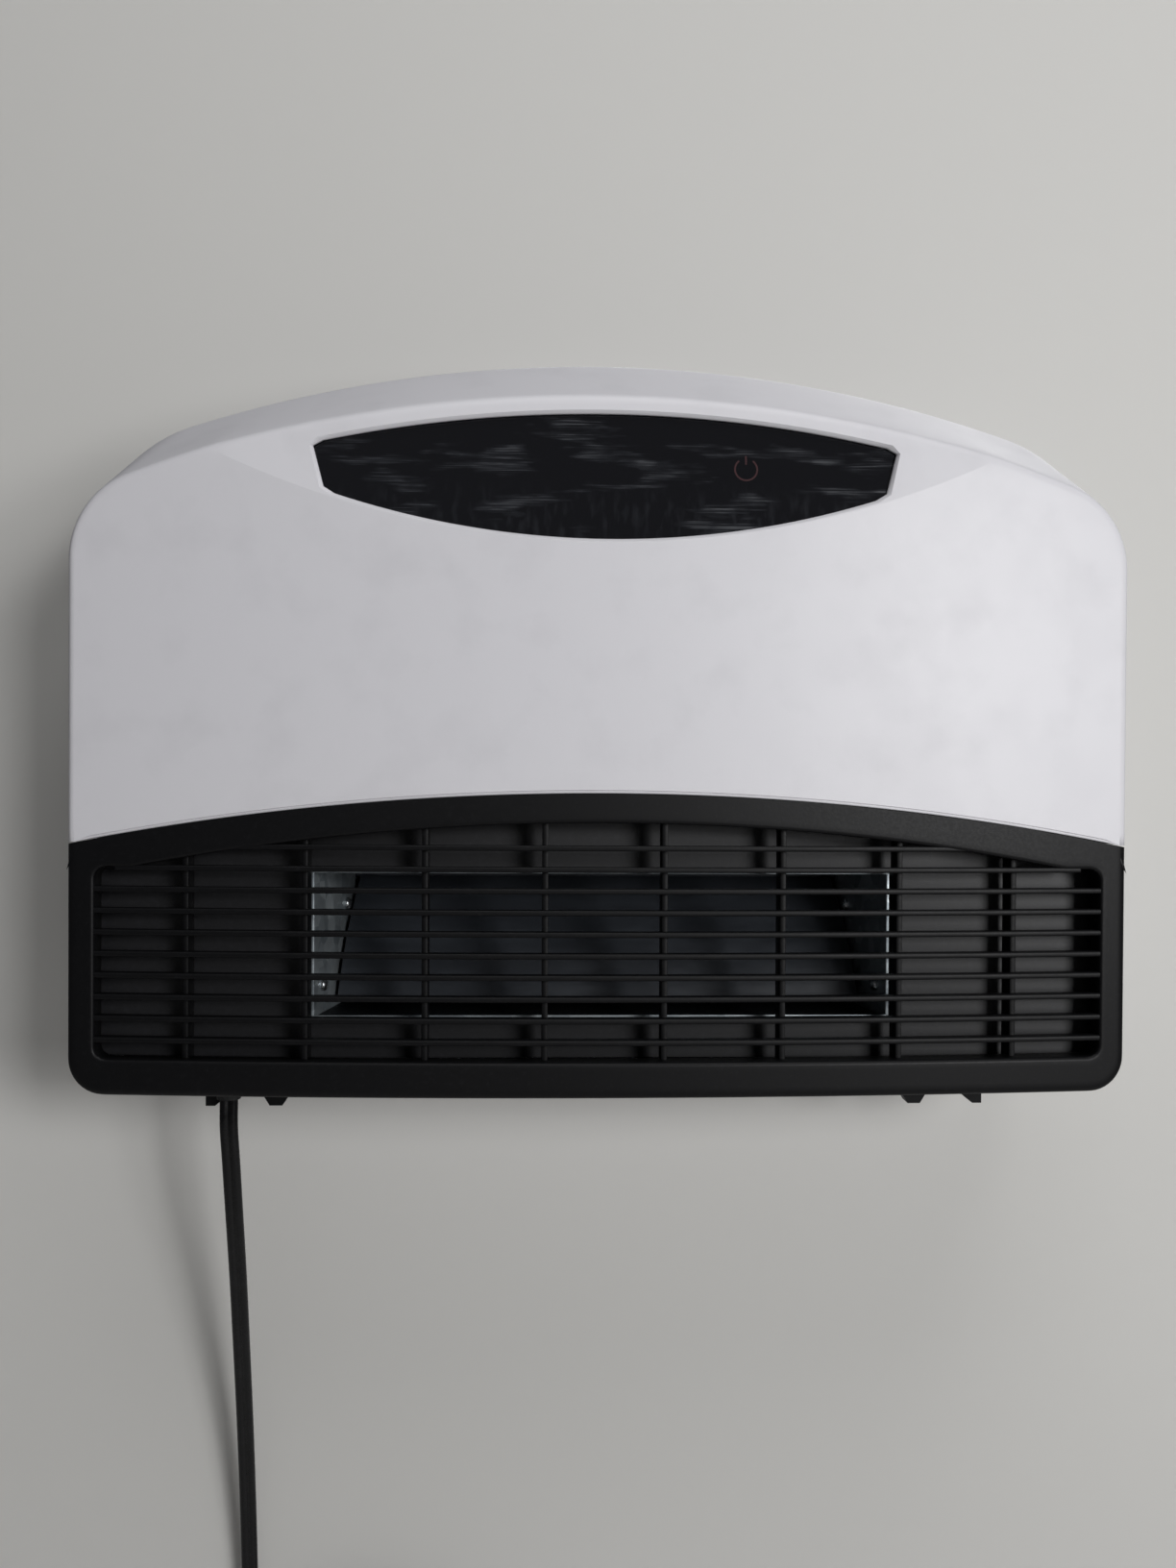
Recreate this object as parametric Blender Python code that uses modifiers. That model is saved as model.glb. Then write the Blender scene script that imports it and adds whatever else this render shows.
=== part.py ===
"""A wall-mounted fan heater with a curved white cover, a dark display window and a
black outlet grille, built as separate pieces.

Metres, +Z up. The wall is the plane y = 0, the front faces -Y, and +X is the viewer's
right. The origin lies on the back, where the heater meets the wall.
"""

import math

import bmesh
import bpy
from mathutils import Matrix, Vector

# Whole body
WIDTH = 0.420
BULGE_DEPTH = 0.120  # from the wall to the front, on the centre line
SIDE_DEPTH = 0.110  # from the wall to the front, at the side edges
BOTTOM_Z = -0.150
SHELL = 0.0022  # wall of the moulded covers
GAP = 0.0003  # clearance between pieces that seat on each other
SPLIT_Y = -0.074  # where the front covers meet the rear housing

# Top of the body: the front edge, and the ridge that the top slopes up to behind it
FRONT_TOP_Z = 0.1255
FRONT_TOP_RADIUS = 0.530
SHOULDER_RADIUS = 0.034
RIDGE_RISE = 0.0221  # how far the ridge stands above the front top edge
RIDGE_Y = -0.0775
RIDGE_TOP_RADIUS = 0.540
RIDGE_SHOULDER_RADIUS = 0.0575
EDGE_SOFTNESS = 0.0030
RIDGE_SOFTNESS = 0.0030
BOTTOM_CORNER_RADIUS = 0.014

# Eye-shaped facet round the display, tilted back above its crease
CREASE_DROP = 0.0589  # from the front top edge down to the crease, at the centre
CREASE_RADIUS = 0.355
FACET_TILT = math.radians(9)

# Display window
WINDOW_HALF_WIDTH = 0.1150
WINDOW_FOOT_HALF_WIDTH = 0.1098  # at the lower corners
WINDOW_TOP_BELOW_EDGE = 0.0069
WINDOW_TOP_RADIUS = 0.500
WINDOW_SIDE_HEIGHT = 0.0191  # between the upper and the lower corner
WINDOW_BOTTOM_RADIUS = 0.342
WINDOW_CORNER_RADIUS = 0.0022
WINDOW_LAP = 0.0018  # how far the lens reaches behind the cover all round
WINDOW_THICKNESS = 0.0020
WINDOW_SEAT_GAP = 0.0005

# Seam between the white cover and the black grille frame
SEAM_Z = -0.0308
SEAM_RADIUS = 1.078
LIP_HEIGHT = 0.0013
LIP_DEPTH = 0.0005

# Grille
RECESS_HALF_WIDTH = 0.1992
RECESS_TOP_DROP = 0.0116  # from the seam down to the recess, at the centre
RECESS_TOP_RADIUS = 0.950
RECESS_SHOULDER_DROP = 0.0181  # the short level stretch beside each upper corner
RECESS_BOTTOM_MARGIN = 0.0142  # from the recess down to the bottom
RECESS_CORNER_RADIUS = 0.0045
RING_WALL = 0.0020  # wall that runs back round the recess
RING_FRONT = 0.0012
RING_DEPTH = 0.0085
BAR_COUNT = 10
BAR_FIRST_DROP = 0.0215  # from the seam to the first bar's centre
BAR_PITCH = 0.00844
BAR_HEIGHT = 0.0022
BAR_DEPTH = 0.0048
BAR_SETBACK = 0.0012
BAR_CHAMFER = 0.0005
BAR_STEPS = 14
RIB_COUNT = 8
RIB_PITCH = 0.0470
RIB_WIDTH = 0.0024
RIB_DEPTH = 0.0052
RIB_OVERLAP = 0.0010  # how far a rib reaches into the backs of the bars

# Baffle behind the grille
BAFFLE_FRONT_Y = -0.0955
BAFFLE_THICKNESS = 0.0020
BAFFLE_MARGIN = 0.0030  # past the recess all round
DUCT_CLEARANCE = 0.0004
DUCT_SIDE_GAP = 0.0035  # from a side plate's inner face to the edge of the opening

# Outlet duct, bent from sheet metal
SHEET = 0.0010
MOUTH_HALF_WIDTH = 0.1164
THROAT_HALF_WIDTH = 0.1075
THROAT_Y = -0.045
DUCT_TOP_Z = -0.0637
DUCT_HEIGHT = 0.0584
SCROLL_BACK_Y = -0.0055
DUCT_EDGE = 0.0020  # how far the side plates stand past the scroll sheets

# Cross-flow fan
FAN_Y = -0.030
FAN_Z = -0.018
FAN_RADIUS = 0.022
FAN_END_CLEARANCE = 0.0030
FAN_DISC = 0.0014
BLADE_COUNT = 20
BLADE_CHORD = 0.0055
BLADE_THICKNESS = 0.0007
BLADE_PITCH_ANGLE = math.radians(38)
HUB_RADIUS = 0.0060
HUB_LENGTH = 0.0120
PIN_RADIUS = 0.0020
BUSH_WALL = 0.0030
BUSH_FLANGE = 0.0014
SHAFT_RADIUS = 0.0015
RUNNING_GAP = 0.0003

# Motor, outside the right-hand side plate
ROTOR_RADIUS = 0.0120
ROTOR_LENGTH = 0.0150
ROTOR_AIR_GAP = 0.0005
STACK_THICKNESS = 0.0140
STACK_WIDTH = 0.0440
STACK_BELOW = 0.0220
STACK_ABOVE = 0.0340
YOKE_HEIGHT = 0.0080
YOKE_WINDOW_HEIGHT = 0.0090
YOKE_WINDOW_WIDTH = 0.0280
COIL_WALL = 0.0030
COIL_LENGTH = 0.0240
BRACKET_SHEET = 0.0012
BRACKET_REACH = 0.0090
BRACKET_WIDTH = 0.0280
BRACKET_HEIGHT = 0.0140
BEARING_RADIUS = 0.0042
BEARING_LENGTH = 0.0060

# Heating element
HEATER_HALF_LENGTH = 0.0980
HEATER_WIDTH = 0.0260
HEATER_HEIGHT = 0.0130
HEATER_CENTRE_Y = -0.0205
HEATER_CENTRE_Z = -0.0540
HEATER_RAIL = 0.0030
HEATER_FIN_COUNT = 28
HEATER_FIN = 0.0010
CUTOFF_RADIUS = 0.0075
CUTOFF_DEPTH = 0.0055

# Air flap
FLAP_HINGE_Y = -0.0410
FLAP_HINGE_Z = -0.0680
FLAP_EDGE_Y = -0.0735
FLAP_EDGE_Z = -0.1185
FLAP_THICKNESS = 0.0016
FLAP_BOW = 0.0035
FLAP_SIDE_GAP = 0.0020
FLAP_PIN_RADIUS = 0.0020
FLAP_BARREL_RADIUS = 0.0026
FLAP_STEPS = 6
FLAP_MOTOR_RADIUS = 0.0120
FLAP_MOTOR_LENGTH = 0.0170
FLAP_PIN_REACH = 0.0030

# Boards behind the window
MODULE_WIDTH = 0.050
MODULE_HEIGHT = 0.019
MODULE_DEPTH = 0.0080
MODULE_BELOW_EDGE = 0.0290
DISPLAY_BOARD_WIDTH = 0.150
DISPLAY_BOARD_HEIGHT = 0.032
BOARD_THICKNESS = 0.0016
TOUCH_PAD_X = 0.0548
TOUCH_PAD_RADIUS = 0.0060
RECEIVER_X = -0.0450
RECEIVER_SIZE = 0.0070

# Power board on the back wall, at the left
POWER_BOARD_X = -0.1580
POWER_BOARD_Z = 0.0200
POWER_BOARD_WIDTH = 0.0660
POWER_BOARD_HEIGHT = 0.0860
BOARD_STANDOFF = 0.0080
BOARD_INSET = 0.0050
RELAY_SIZE = (0.0190, 0.0150, 0.0155)
CAPACITOR_RADIUS = 0.0080
CAPACITOR_LENGTH = 0.0250
TRANSFORMER_SIZE = (0.0240, 0.0200, 0.0220)
TERMINAL_SIZE = (0.0300, 0.0130, 0.0120)

# Rear housing
REAR_SOFTNESS = 0.0030
KEYHOLE_X = 0.1200
KEYHOLE_Z = 0.0900
KEYHOLE_HEAD_RADIUS = 0.0048
KEYHOLE_SLOT_RADIUS = 0.0024
KEYHOLE_RISE = 0.0110
VENT_COUNT = 15
VENT_PITCH = 0.0180
VENT_WIDTH = 0.0060
VENT_LENGTH = 0.0440
VENT_MIDDLE_Y = -0.0380
POST_RADIUS = 0.0040
POST_X = 0.1860
POST_ABOVE_RECESS_FOOT = (0.0080, 0.0640)
PAD_X = 0.0600
PAD_RADIUS = 0.0060
PAD_Z = (-0.0300, -0.0700)

# Stand lugs under the rear housing
LUG_Y = -0.0600
LUG_THICKNESS = 0.0080
LUG_DROP = 0.0160
LUG_PLATE = 0.0020
LUG_OUTER_X = 0.1678
LUG_INNER_X = 0.1380
LUG_INNER_WIDTH = 0.0115
LUG_INNER_TIP = 0.0054
LUG_OUTER_WIDTH = 0.0100
LUG_OUTER_TIP = 0.0040
LUG_TAPER = 0.0050

# Supply cord: a flat twin lead, 1.8 m long
CORD_WIDTH = 0.0076
CORD_X = -0.1565
CORD_Y = -0.0700
RELIEF_NECK = (0.0124, 0.0100)
RELIEF_FLANGE = (0.0160, 0.0136)
RELIEF_TAIL = (0.0098, 0.0086)
RELIEF_FLANGE_HEIGHT = 0.0120
RELIEF_TAIL_LENGTH = 0.0115
RELIEF_CORNER_STEPS = 4
CORD_ROUTE = (
    # x, y and z by hand, from under the strain relief down to the coil
    (-0.1565, -0.0700, -0.1740),
    (-0.1562, -0.0670, -0.1900),
    (-0.1564, -0.0600, -0.2150),
    (-0.1573, -0.0490, -0.2450),
    (-0.1585, -0.0370, -0.2800),
    (-0.1595, -0.0255, -0.3180),
    (-0.1601, -0.0165, -0.3580),
    (-0.1604, -0.0100, -0.4000),
    (-0.1605, -0.0068, -0.4380),
)
CORD_STEPS = 4  # points read from the smooth curve in each stretch of the route
COIL_CENTRE_Z = -0.4780
COIL_MEAN_RADIUS = 0.0456
COIL_TURNS = 5
COIL_PITCH = 0.0082
COIL_LOOP_POINTS = 24
COIL_NEAR_WALL_Y = -0.0065
COIL_TAIL = 0.0450
TIE_WALL = 0.0012
TIE_WIDTH = 0.0100
TIE_CLEARANCE = 0.0004

# Plug
PLUG_WIDTH = 0.0240
PLUG_THICKNESS = 0.0170
PLUG_LENGTH = 0.0280
PLUG_NECK_LENGTH = 0.0120
BLADE_SPACING = 0.0127
PRONG_WIDTH = 0.0063
PRONG_THICKNESS = 0.0015
PRONG_LENGTH = 0.0170

# Facets
ARC_STEPS = 8
CORNER_STEPS = 5
ROUND_SIDES = 24

# What follows from the sizes above
HALF_WIDTH = WIDTH / 2
BULGE = BULGE_DEPTH - SIDE_DEPTH
FRONT_RADIUS = (HALF_WIDTH**2 + BULGE**2) / (2 * BULGE)
RIDGE_Z = FRONT_TOP_Z + RIDGE_RISE
CREASE_Z = FRONT_TOP_Z - CREASE_DROP
WINDOW_TOP_Z = FRONT_TOP_Z - WINDOW_TOP_BELOW_EDGE
RECESS_TOP_Z = SEAM_Z - RECESS_TOP_DROP
RECESS_SHOULDER_Z = RECESS_TOP_Z - RECESS_SHOULDER_DROP
RECESS_BOTTOM_Z = BOTTOM_Z + RECESS_BOTTOM_MARGIN
SCROLL_RADIUS = SCROLL_BACK_Y - THROAT_Y
BAFFLE_BACK_Y = BAFFLE_FRONT_Y + BAFFLE_THICKNESS
MOUTH_Y = BAFFLE_FRONT_Y
DUCT_FLOOR_Z = DUCT_TOP_Z - DUCT_HEIGHT
FAN_HALF_LENGTH = THROAT_HALF_WIDTH - FAN_END_CLEARANCE
PLATE_OUTER_X = THROAT_HALF_WIDTH + SHEET
STACK_X = PLATE_OUTER_X + GAP + BRACKET_SHEET + BRACKET_REACH + GAP
COIL_OUT_Y = COIL_NEAR_WALL_Y - COIL_PITCH
COIL_OUTER_RADIUS = COIL_MEAN_RADIUS + COIL_PITCH * COIL_TURNS / 4
COIL_CENTRE_X = CORD_ROUTE[-1][0] + COIL_OUTER_RADIUS


# Scene and helpers

for old in list(bpy.data.objects):
    bpy.data.objects.remove(old, do_unlink=True)

parts = bpy.data.collections.new("wall_heater")
cutters = bpy.data.collections.new("cutters")
cutters.hide_render = True
bpy.context.scene.collection.children.link(parts)
bpy.context.scene.collection.children.link(cutters)


def finish(name, colour, roughness, metallic=0.0):
    """A plain material of this colour."""
    material = bpy.data.materials.new(name)
    material.use_nodes = True
    shader = material.node_tree.nodes["Principled BSDF"]
    shader.inputs["Base Color"].default_value = (*colour, 1.0)
    shader.inputs["Roughness"].default_value = roughness
    shader.inputs["Metallic"].default_value = metallic
    material.diffuse_color = (*colour, 1.0)
    return material


WHITE_PLASTIC = finish("white_plastic", (0.78, 0.78, 0.80), 0.42)
BLACK_PLASTIC = finish("black_plastic", (0.012, 0.012, 0.013), 0.45)
DARK_LENS = finish("dark_lens", (0.006, 0.007, 0.010), 0.08)
ZINC_SHEET = finish("zinc_sheet", (0.48, 0.50, 0.52), 0.35, 1.0)
DARK_SHEET = finish("dark_sheet", (0.030, 0.032, 0.036), 0.30, 0.6)
FLAP_PLASTIC = finish("flap_plastic", (0.020, 0.021, 0.024), 0.25)
SLEEVE = finish("sleeve_black", (0.015, 0.015, 0.018), 0.35)
STEEL = finish("steel", (0.55, 0.56, 0.58), 0.30, 1.0)
ALUMINIUM = finish("aluminium", (0.70, 0.71, 0.73), 0.35, 1.0)
COPPER = finish("copper", (0.60, 0.25, 0.12), 0.40, 1.0)
BRASS = finish("brass", (0.62, 0.48, 0.20), 0.30, 1.0)
GREY_PLASTIC = finish("grey_plastic", (0.20, 0.21, 0.22), 0.50)
BOARD_GREEN = finish("board_green", (0.02, 0.14, 0.06), 0.45)
BLUE_PLASTIC = finish("blue_plastic", (0.03, 0.10, 0.35), 0.40)
CORD_BLACK = finish("cord_black", (0.010, 0.010, 0.011), 0.38)
RUBBER = finish("rubber", (0.015, 0.015, 0.015), 0.80)


def add(name, mesh, material, smooth=True):
    """A part of the heater from this mesh."""
    obj = bpy.data.objects.new(name, mesh)
    mesh.materials.clear()
    mesh.materials.append(material)
    if smooth:
        mesh.shade_smooth()
        mesh.set_sharp_from_angle(angle=math.radians(35))
    parts.objects.link(obj)
    return obj


def mesh_of(bm, name):
    """Ends a bmesh as a mesh with this name."""
    mesh = bpy.data.meshes.new(name)
    bm.to_mesh(mesh)
    bm.free()
    return mesh


def cutter(name, mesh, group=None):
    """A shape that cuts or joins another, and isn't a part itself."""
    obj = bpy.data.objects.new(name, mesh)
    obj.hide_render = True
    obj.display_type = "WIRE"
    (group or cutters).objects.link(obj)
    return obj


def cutter_group(name):
    """A collection of cutters that act together."""
    group = bpy.data.collections.new(name)
    group.hide_render = True
    cutters.children.link(group)
    return group


def boolean(obj, operation, tool):
    """Joins, cuts or meets obj with a tool object or a collection of them."""
    step = obj.modifiers.new(operation.lower(), "BOOLEAN")
    step.operation = operation
    step.solver = "EXACT"
    if isinstance(tool, bpy.types.Collection):
        step.operand_type = "COLLECTION"
        step.collection = tool
    else:
        step.object = tool
    return step


def thicken(obj, thickness, side):
    """Turns an open surface into a wall. Side 1 grows it along its normals, -1 against."""
    wall = obj.modifiers.new("wall", "SOLIDIFY")
    wall.thickness = thickness
    wall.offset = side
    wall.use_even_offset = True
    return wall


def box_mesh(name, low, high):
    """A box between two corners."""
    bm = bmesh.new()
    low, high = Vector(low), Vector(high)
    bmesh.ops.create_cube(bm, size=1.0)
    bmesh.ops.scale(bm, vec=high - low, verts=bm.verts)
    bmesh.ops.translate(bm, vec=(low + high) / 2, verts=bm.verts)
    return mesh_of(bm, name)


def soft_block(name, low, high, softness, material):
    """A box-shaped part with its edges taken off."""
    block = add(name, box_mesh(name, low, high), material, smooth=False)
    edge = block.modifiers.new("soft_edges", "BEVEL")
    edge.width = softness
    edge.segments = 1
    return block


def rod_mesh(name, start, end, radius, sides=ROUND_SIDES):
    """A cylinder from start to end."""
    start, end = Vector(start), Vector(end)
    along = end - start
    bm = bmesh.new()
    bmesh.ops.create_cone(
        bm, cap_ends=True, segments=sides, radius1=radius, radius2=radius, depth=along.length
    )
    turn = along.to_track_quat("Z", "Y").to_matrix().to_4x4()
    bmesh.ops.transform(bm, matrix=Matrix.Translation((start + end) / 2) @ turn, verts=bm.verts)
    return mesh_of(bm, name)


def grid_mesh(name, rows):
    """An open surface through rows of points."""
    bm = bmesh.new()
    grid = [[bm.verts.new(p) for p in row] for row in rows]
    for below, above in zip(grid, grid[1:]):
        for k in range(len(below) - 1):
            bm.faces.new((below[k], below[k + 1], above[k + 1], above[k]))
    bmesh.ops.remove_doubles(bm, verts=bm.verts, dist=1e-5)
    return mesh_of(bm, name)


def loft_mesh(name, loops, ring=False):
    """A closed body through closed loops with equal numbers of points."""
    bm = bmesh.new()
    rings = [[bm.verts.new(p) for p in loop] for loop in loops]
    pairs = list(zip(rings, rings[1:]))
    if ring:
        pairs.append((rings[-1], rings[0]))
    else:
        bm.faces.new(rings[0])
        bm.faces.new(rings[-1])
    for one, other in pairs:
        for k in range(len(one)):
            n = (k + 1) % len(one)
            bm.faces.new((one[k], one[n], other[n], other[k]))
    bmesh.ops.recalc_face_normals(bm, faces=bm.faces)
    return mesh_of(bm, name)


def mesh_from_curve(curve_object, name):
    """The curve's evaluated mesh with its caps welded, placed as the curve was."""
    graph = bpy.context.evaluated_depsgraph_get()
    mesh = bpy.data.meshes.new_from_object(curve_object.evaluated_get(graph))
    mesh.name = name
    bm = bmesh.new()
    bm.from_mesh(mesh)
    bmesh.ops.remove_doubles(bm, verts=bm.verts, dist=1e-6)
    bmesh.ops.transform(bm, matrix=curve_object.matrix_world, verts=bm.verts)
    bm.to_mesh(mesh)
    bm.free()
    curve = curve_object.data
    bpy.data.objects.remove(curve_object)
    bpy.data.curves.remove(curve)
    return mesh


# Each plane turns the flat outline's two axes and its normal into the heater's axes.
FACING_FRONT = Matrix(((1, 0, 0), (0, 0, -1), (0, 1, 0))).to_4x4()  # x and z, thick along y
FACING_SIDE = Matrix(((0, 0, 1), (1, 0, 0), (0, 1, 0))).to_4x4()  # y and z, thick along x
FACING_UP = Matrix.Identity(4)  # x and y, thick along z


def flat_mesh(name, outlines, plane, low, high):
    """A flat outline, with any holes, given thickness from low to high along its normal."""
    curve = bpy.data.curves.new(name, "CURVE")
    curve.dimensions = "2D"
    curve.fill_mode = "BOTH"
    curve.extrude = abs(high - low) / 2
    for outline in outlines:
        spline = curve.splines.new("POLY")
        spline.points.add(len(outline) - 1)
        spline.use_cyclic_u = True
        for point, (u, v) in zip(spline.points, outline):
            point.co = (u, v, 0, 1)
    obj = bpy.data.objects.new(name, curve)
    parts.objects.link(obj)
    middle = (low + high) / 2
    along = -middle if plane is FACING_FRONT else middle
    obj.matrix_world = plane @ Matrix.Translation((0, 0, along))
    bpy.context.view_layer.update()
    return mesh_from_curve(obj, name)


def rectangle(u0, v0, u1, v1):
    return [(u0, v0), (u1, v0), (u1, v1), (u0, v1)]


def circle(u, v, radius, sides=ROUND_SIDES):
    turn = 2 * math.pi / sides
    return [(u + radius * math.cos(k * turn), v + radius * math.sin(k * turn)) for k in range(sides)]


def rounded_rectangle(u, v, width, height, radius, steps=CORNER_STEPS):
    """A rectangle round (u, v) with round corners."""
    points = []
    corners = ((1, 1, 0), (-1, 1, 90), (-1, -1, 180), (1, -1, 270))
    for su, sv, first in corners:
        cu, cv = u + su * (width / 2 - radius), v + sv * (height / 2 - radius)
        for k in range(steps + 1):
            a = math.radians(first + 90 * k / steps)
            points.append((cu + radius * math.cos(a), cv + radius * math.sin(a)))
    return points


def turned(name, profiles, centre, axis, material, sides=ROUND_SIDES):
    """A turned piece: profiles of (distance along the axis, radius) go once round the
    axis. One that starts away from the axis is a ring, and closes on itself."""
    points, edges = [], []
    for profile in profiles:
        ends = zip(profile, profile[1:] + profile[:1])
        upwards = sum(a[1] * b[0] - b[1] * a[0] for a, b in ends) > 0
        first = len(points)
        points += [(radius, 0, along) for along, radius in (profile[::-1] if upwards else profile)]
        edges += [(k, k + 1) for k in range(first, len(points) - 1)]
        if profile[0][1] > 0:
            edges.append((len(points) - 1, first))
    mesh = bpy.data.meshes.new(name)
    mesh.from_pydata(points, edges, [])
    piece = add(name, mesh, material, smooth=False)
    piece.location = centre
    piece.rotation_euler = Vector(axis).to_track_quat("Z", "Y").to_euler()
    turn = piece.modifiers.new("turn", "SCREW")
    turn.axis = "Z"
    turn.angle = 2 * math.pi
    turn.steps = sides
    turn.render_steps = sides
    turn.use_smooth_shade = True
    turn.use_merge_vertices = True
    turn.merge_threshold = 1e-5
    return piece


def sag(radius, x):
    """How far an arc of this radius falls away from its apex at x."""
    return radius - math.sqrt(radius**2 - x**2)


# Outer form

def front_y(x):
    """The front's bulge: a wide upright cylinder."""
    return -BULGE_DEPTH + sag(FRONT_RADIUS, x)


def crease_z(x):
    return CREASE_Z + sag(CREASE_RADIUS, min(abs(x), CREASE_RADIUS))


def facet_y(x, z):
    """The facet's plane, tilted back from the crease."""
    return front_y(x) + (z - crease_z(x)) * math.tan(FACET_TILT)


def cover_y(x, z):
    """The front surface, with the facet above the crease."""
    return max(front_y(x), facet_y(x, z))


def seam_z(x):
    return SEAM_Z - sag(SEAM_RADIUS, x)


def top_half(apex_z, arc_radius, corner_radius, half_width=HALF_WIDTH):
    """An arched top and its shoulder, from the middle to the side: x, z and the normal."""
    centre_z = apex_z - arc_radius
    corner_x = half_width - corner_radius
    corner_z = centre_z + math.sqrt((arc_radius - corner_radius) ** 2 - corner_x**2)
    meet = math.asin(corner_x / (arc_radius - corner_radius))
    points = []
    for k in range(ARC_STEPS + 1):
        a = meet * k / ARC_STEPS
        points.append(
            (arc_radius * math.sin(a), centre_z + arc_radius * math.cos(a), math.sin(a), math.cos(a))
        )
    for k in range(1, CORNER_STEPS + 1):
        a = meet + (math.pi / 2 - meet) * k / CORNER_STEPS
        nx, nz = math.sin(a), math.cos(a)
        points.append((corner_x + corner_radius * nx, corner_z + corner_radius * nz, nx, nz))
    return points


def bottom_half(bottom_z, corner_radius, half_width=HALF_WIDTH):
    """A straight bottom and its corner, from the middle to the side."""
    corner_x = half_width - corner_radius
    points = [(corner_x * k / ARC_STEPS, bottom_z, 0.0, -1.0) for k in range(ARC_STEPS + 1)]
    for k in range(1, CORNER_STEPS + 1):
        a = math.pi / 2 * k / CORNER_STEPS
        nx, nz = math.sin(a), -math.cos(a)
        points.append(
            (corner_x + corner_radius * nx, bottom_z + corner_radius * (1 + nz), nx, nz)
        )
    return points


def both_halves(half):
    """A right-hand half that starts in the middle, as one list from left to right."""
    return [(-x, z, -nx, nz) for x, z, nx, nz in reversed(half[1:])] + half


def eased(before, corner, after):
    """Two points of a soft corner between two points on its sides."""
    points = []
    for t in (1 / 3, 2 / 3):
        points.append((1 - t) ** 2 * before + 2 * t * (1 - t) * corner + t**2 * after)
    return points


def cover_mesh(name, edge, ridge, seam, lip):
    """The skin of a front cover: its face from the seam to the edge, and its wall back to
    the split. The edge runs clockwise as seen from the front, and so does the ridge."""
    inset = []
    walls = []
    for (x, z, nx, nz), (rx, rz, _, _) in zip(edge, ridge):
        ix, iz = x - nx * EDGE_SOFTNESS, z - nz * EDGE_SOFTNESS
        front = Vector((ix, cover_y(ix, iz), iz))
        corner = Vector((x, cover_y(x, z), z))
        back = Vector((rx, RIDGE_Y, rz))
        along = (back - corner).normalized()
        past_edge = corner + along * EDGE_SOFTNESS
        before_ridge = back - along * RIDGE_SOFTNESS
        past_ridge = back + Vector((0, RIDGE_SOFTNESS, 0))
        row = [front, *eased(front, corner, past_edge), past_edge]
        row += [before_ridge, back, past_ridge]
        row.append(Vector((rx, SPLIT_Y, rz)))
        inset.append(front)
        walls.append(row)
    bm = bmesh.new()

    def quad(a, b, c, d):
        corners = [a, b, c, d]
        kept = [p for k, p in enumerate(corners) if (p - corners[k - 1]).length > 1e-6]
        if len(kept) > 2:
            bm.faces.new([bm.verts.new(p) for p in kept])

    columns = []
    for k in range(1, len(edge) - 1):
        top = inset[k]
        last = k in (1, len(edge) - 2)
        low_z = seam(top.x)
        lip_z = low_z if last or not lip else low_z + lip
        low_y = front_y(top.x) + (0 if last or not lip else LIP_DEPTH)
        middle_z = min(crease_z(top.x), top.z) if lip else top.z
        columns.append(
            [
                Vector((top.x, low_y, low_z)),
                Vector((top.x, front_y(top.x), lip_z)),
                Vector((top.x, cover_y(top.x, middle_z), middle_z)),
                top,
            ]
        )
    for left, right in zip(columns, columns[1:]):
        for k in range(3):
            quad(left[k], right[k], right[k + 1], left[k + 1])
    for one, other in zip(walls, walls[1:]):
        for k in range(len(one) - 1):
            quad(one[k], other[k], other[k + 1], one[k + 1])
    bmesh.ops.remove_doubles(bm, verts=bm.verts, dist=1e-5)
    return mesh_of(bm, name)


# Window outline

def window_outline(grow):
    """The lens-shaped window, grown outwards by this much, as a closed outline."""
    corner_z = WINDOW_TOP_Z - sag(WINDOW_TOP_RADIUS, WINDOW_HALF_WIDTH)
    foot_z = corner_z - WINDOW_SIDE_HEIGHT
    foot_apex_z = foot_z - sag(WINDOW_BOTTOM_RADIUS, WINDOW_FOOT_HALF_WIDTH)
    radius = WINDOW_CORNER_RADIUS + grow
    half_top, half_foot = WINDOW_HALF_WIDTH + grow, WINDOW_FOOT_HALF_WIDTH + grow
    steps = 12

    def top(x):
        return WINDOW_TOP_Z + grow - sag(WINDOW_TOP_RADIUS + grow, x)

    def foot(x):
        return foot_apex_z - grow + sag(WINDOW_BOTTOM_RADIUS + grow, x)

    upper = [(x, top(x)) for x in spread(half_top - radius, steps)]
    lower = [(x, foot(x)) for x in spread(half_foot - radius, steps)]
    corner = (half_top, top(half_top))
    low_corner = (half_foot, foot(half_foot))
    side = (Vector(low_corner) - Vector(corner)).normalized()
    right_top = soft_point(upper[-1], corner, Vector(corner) + side * radius)
    right_low = soft_point(Vector(low_corner) - side * radius, low_corner, lower[-1])
    right = right_top + right_low
    left = [(-x, z) for x, z in reversed(right)]
    return upper + right + list(reversed(lower)) + left


def spread(half, steps):
    """Evenly spaced values from -half to half."""
    return [-half + 2 * half * k / steps for k in range(steps + 1)]


def soft_point(before, corner, after):
    """A corner's two eased points and its end, for a flat outline."""
    before, corner, after = Vector(before), Vector(corner), Vector(after)
    points = eased(before, corner, after) + [after]
    return [tuple(p) for p in points]


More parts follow.
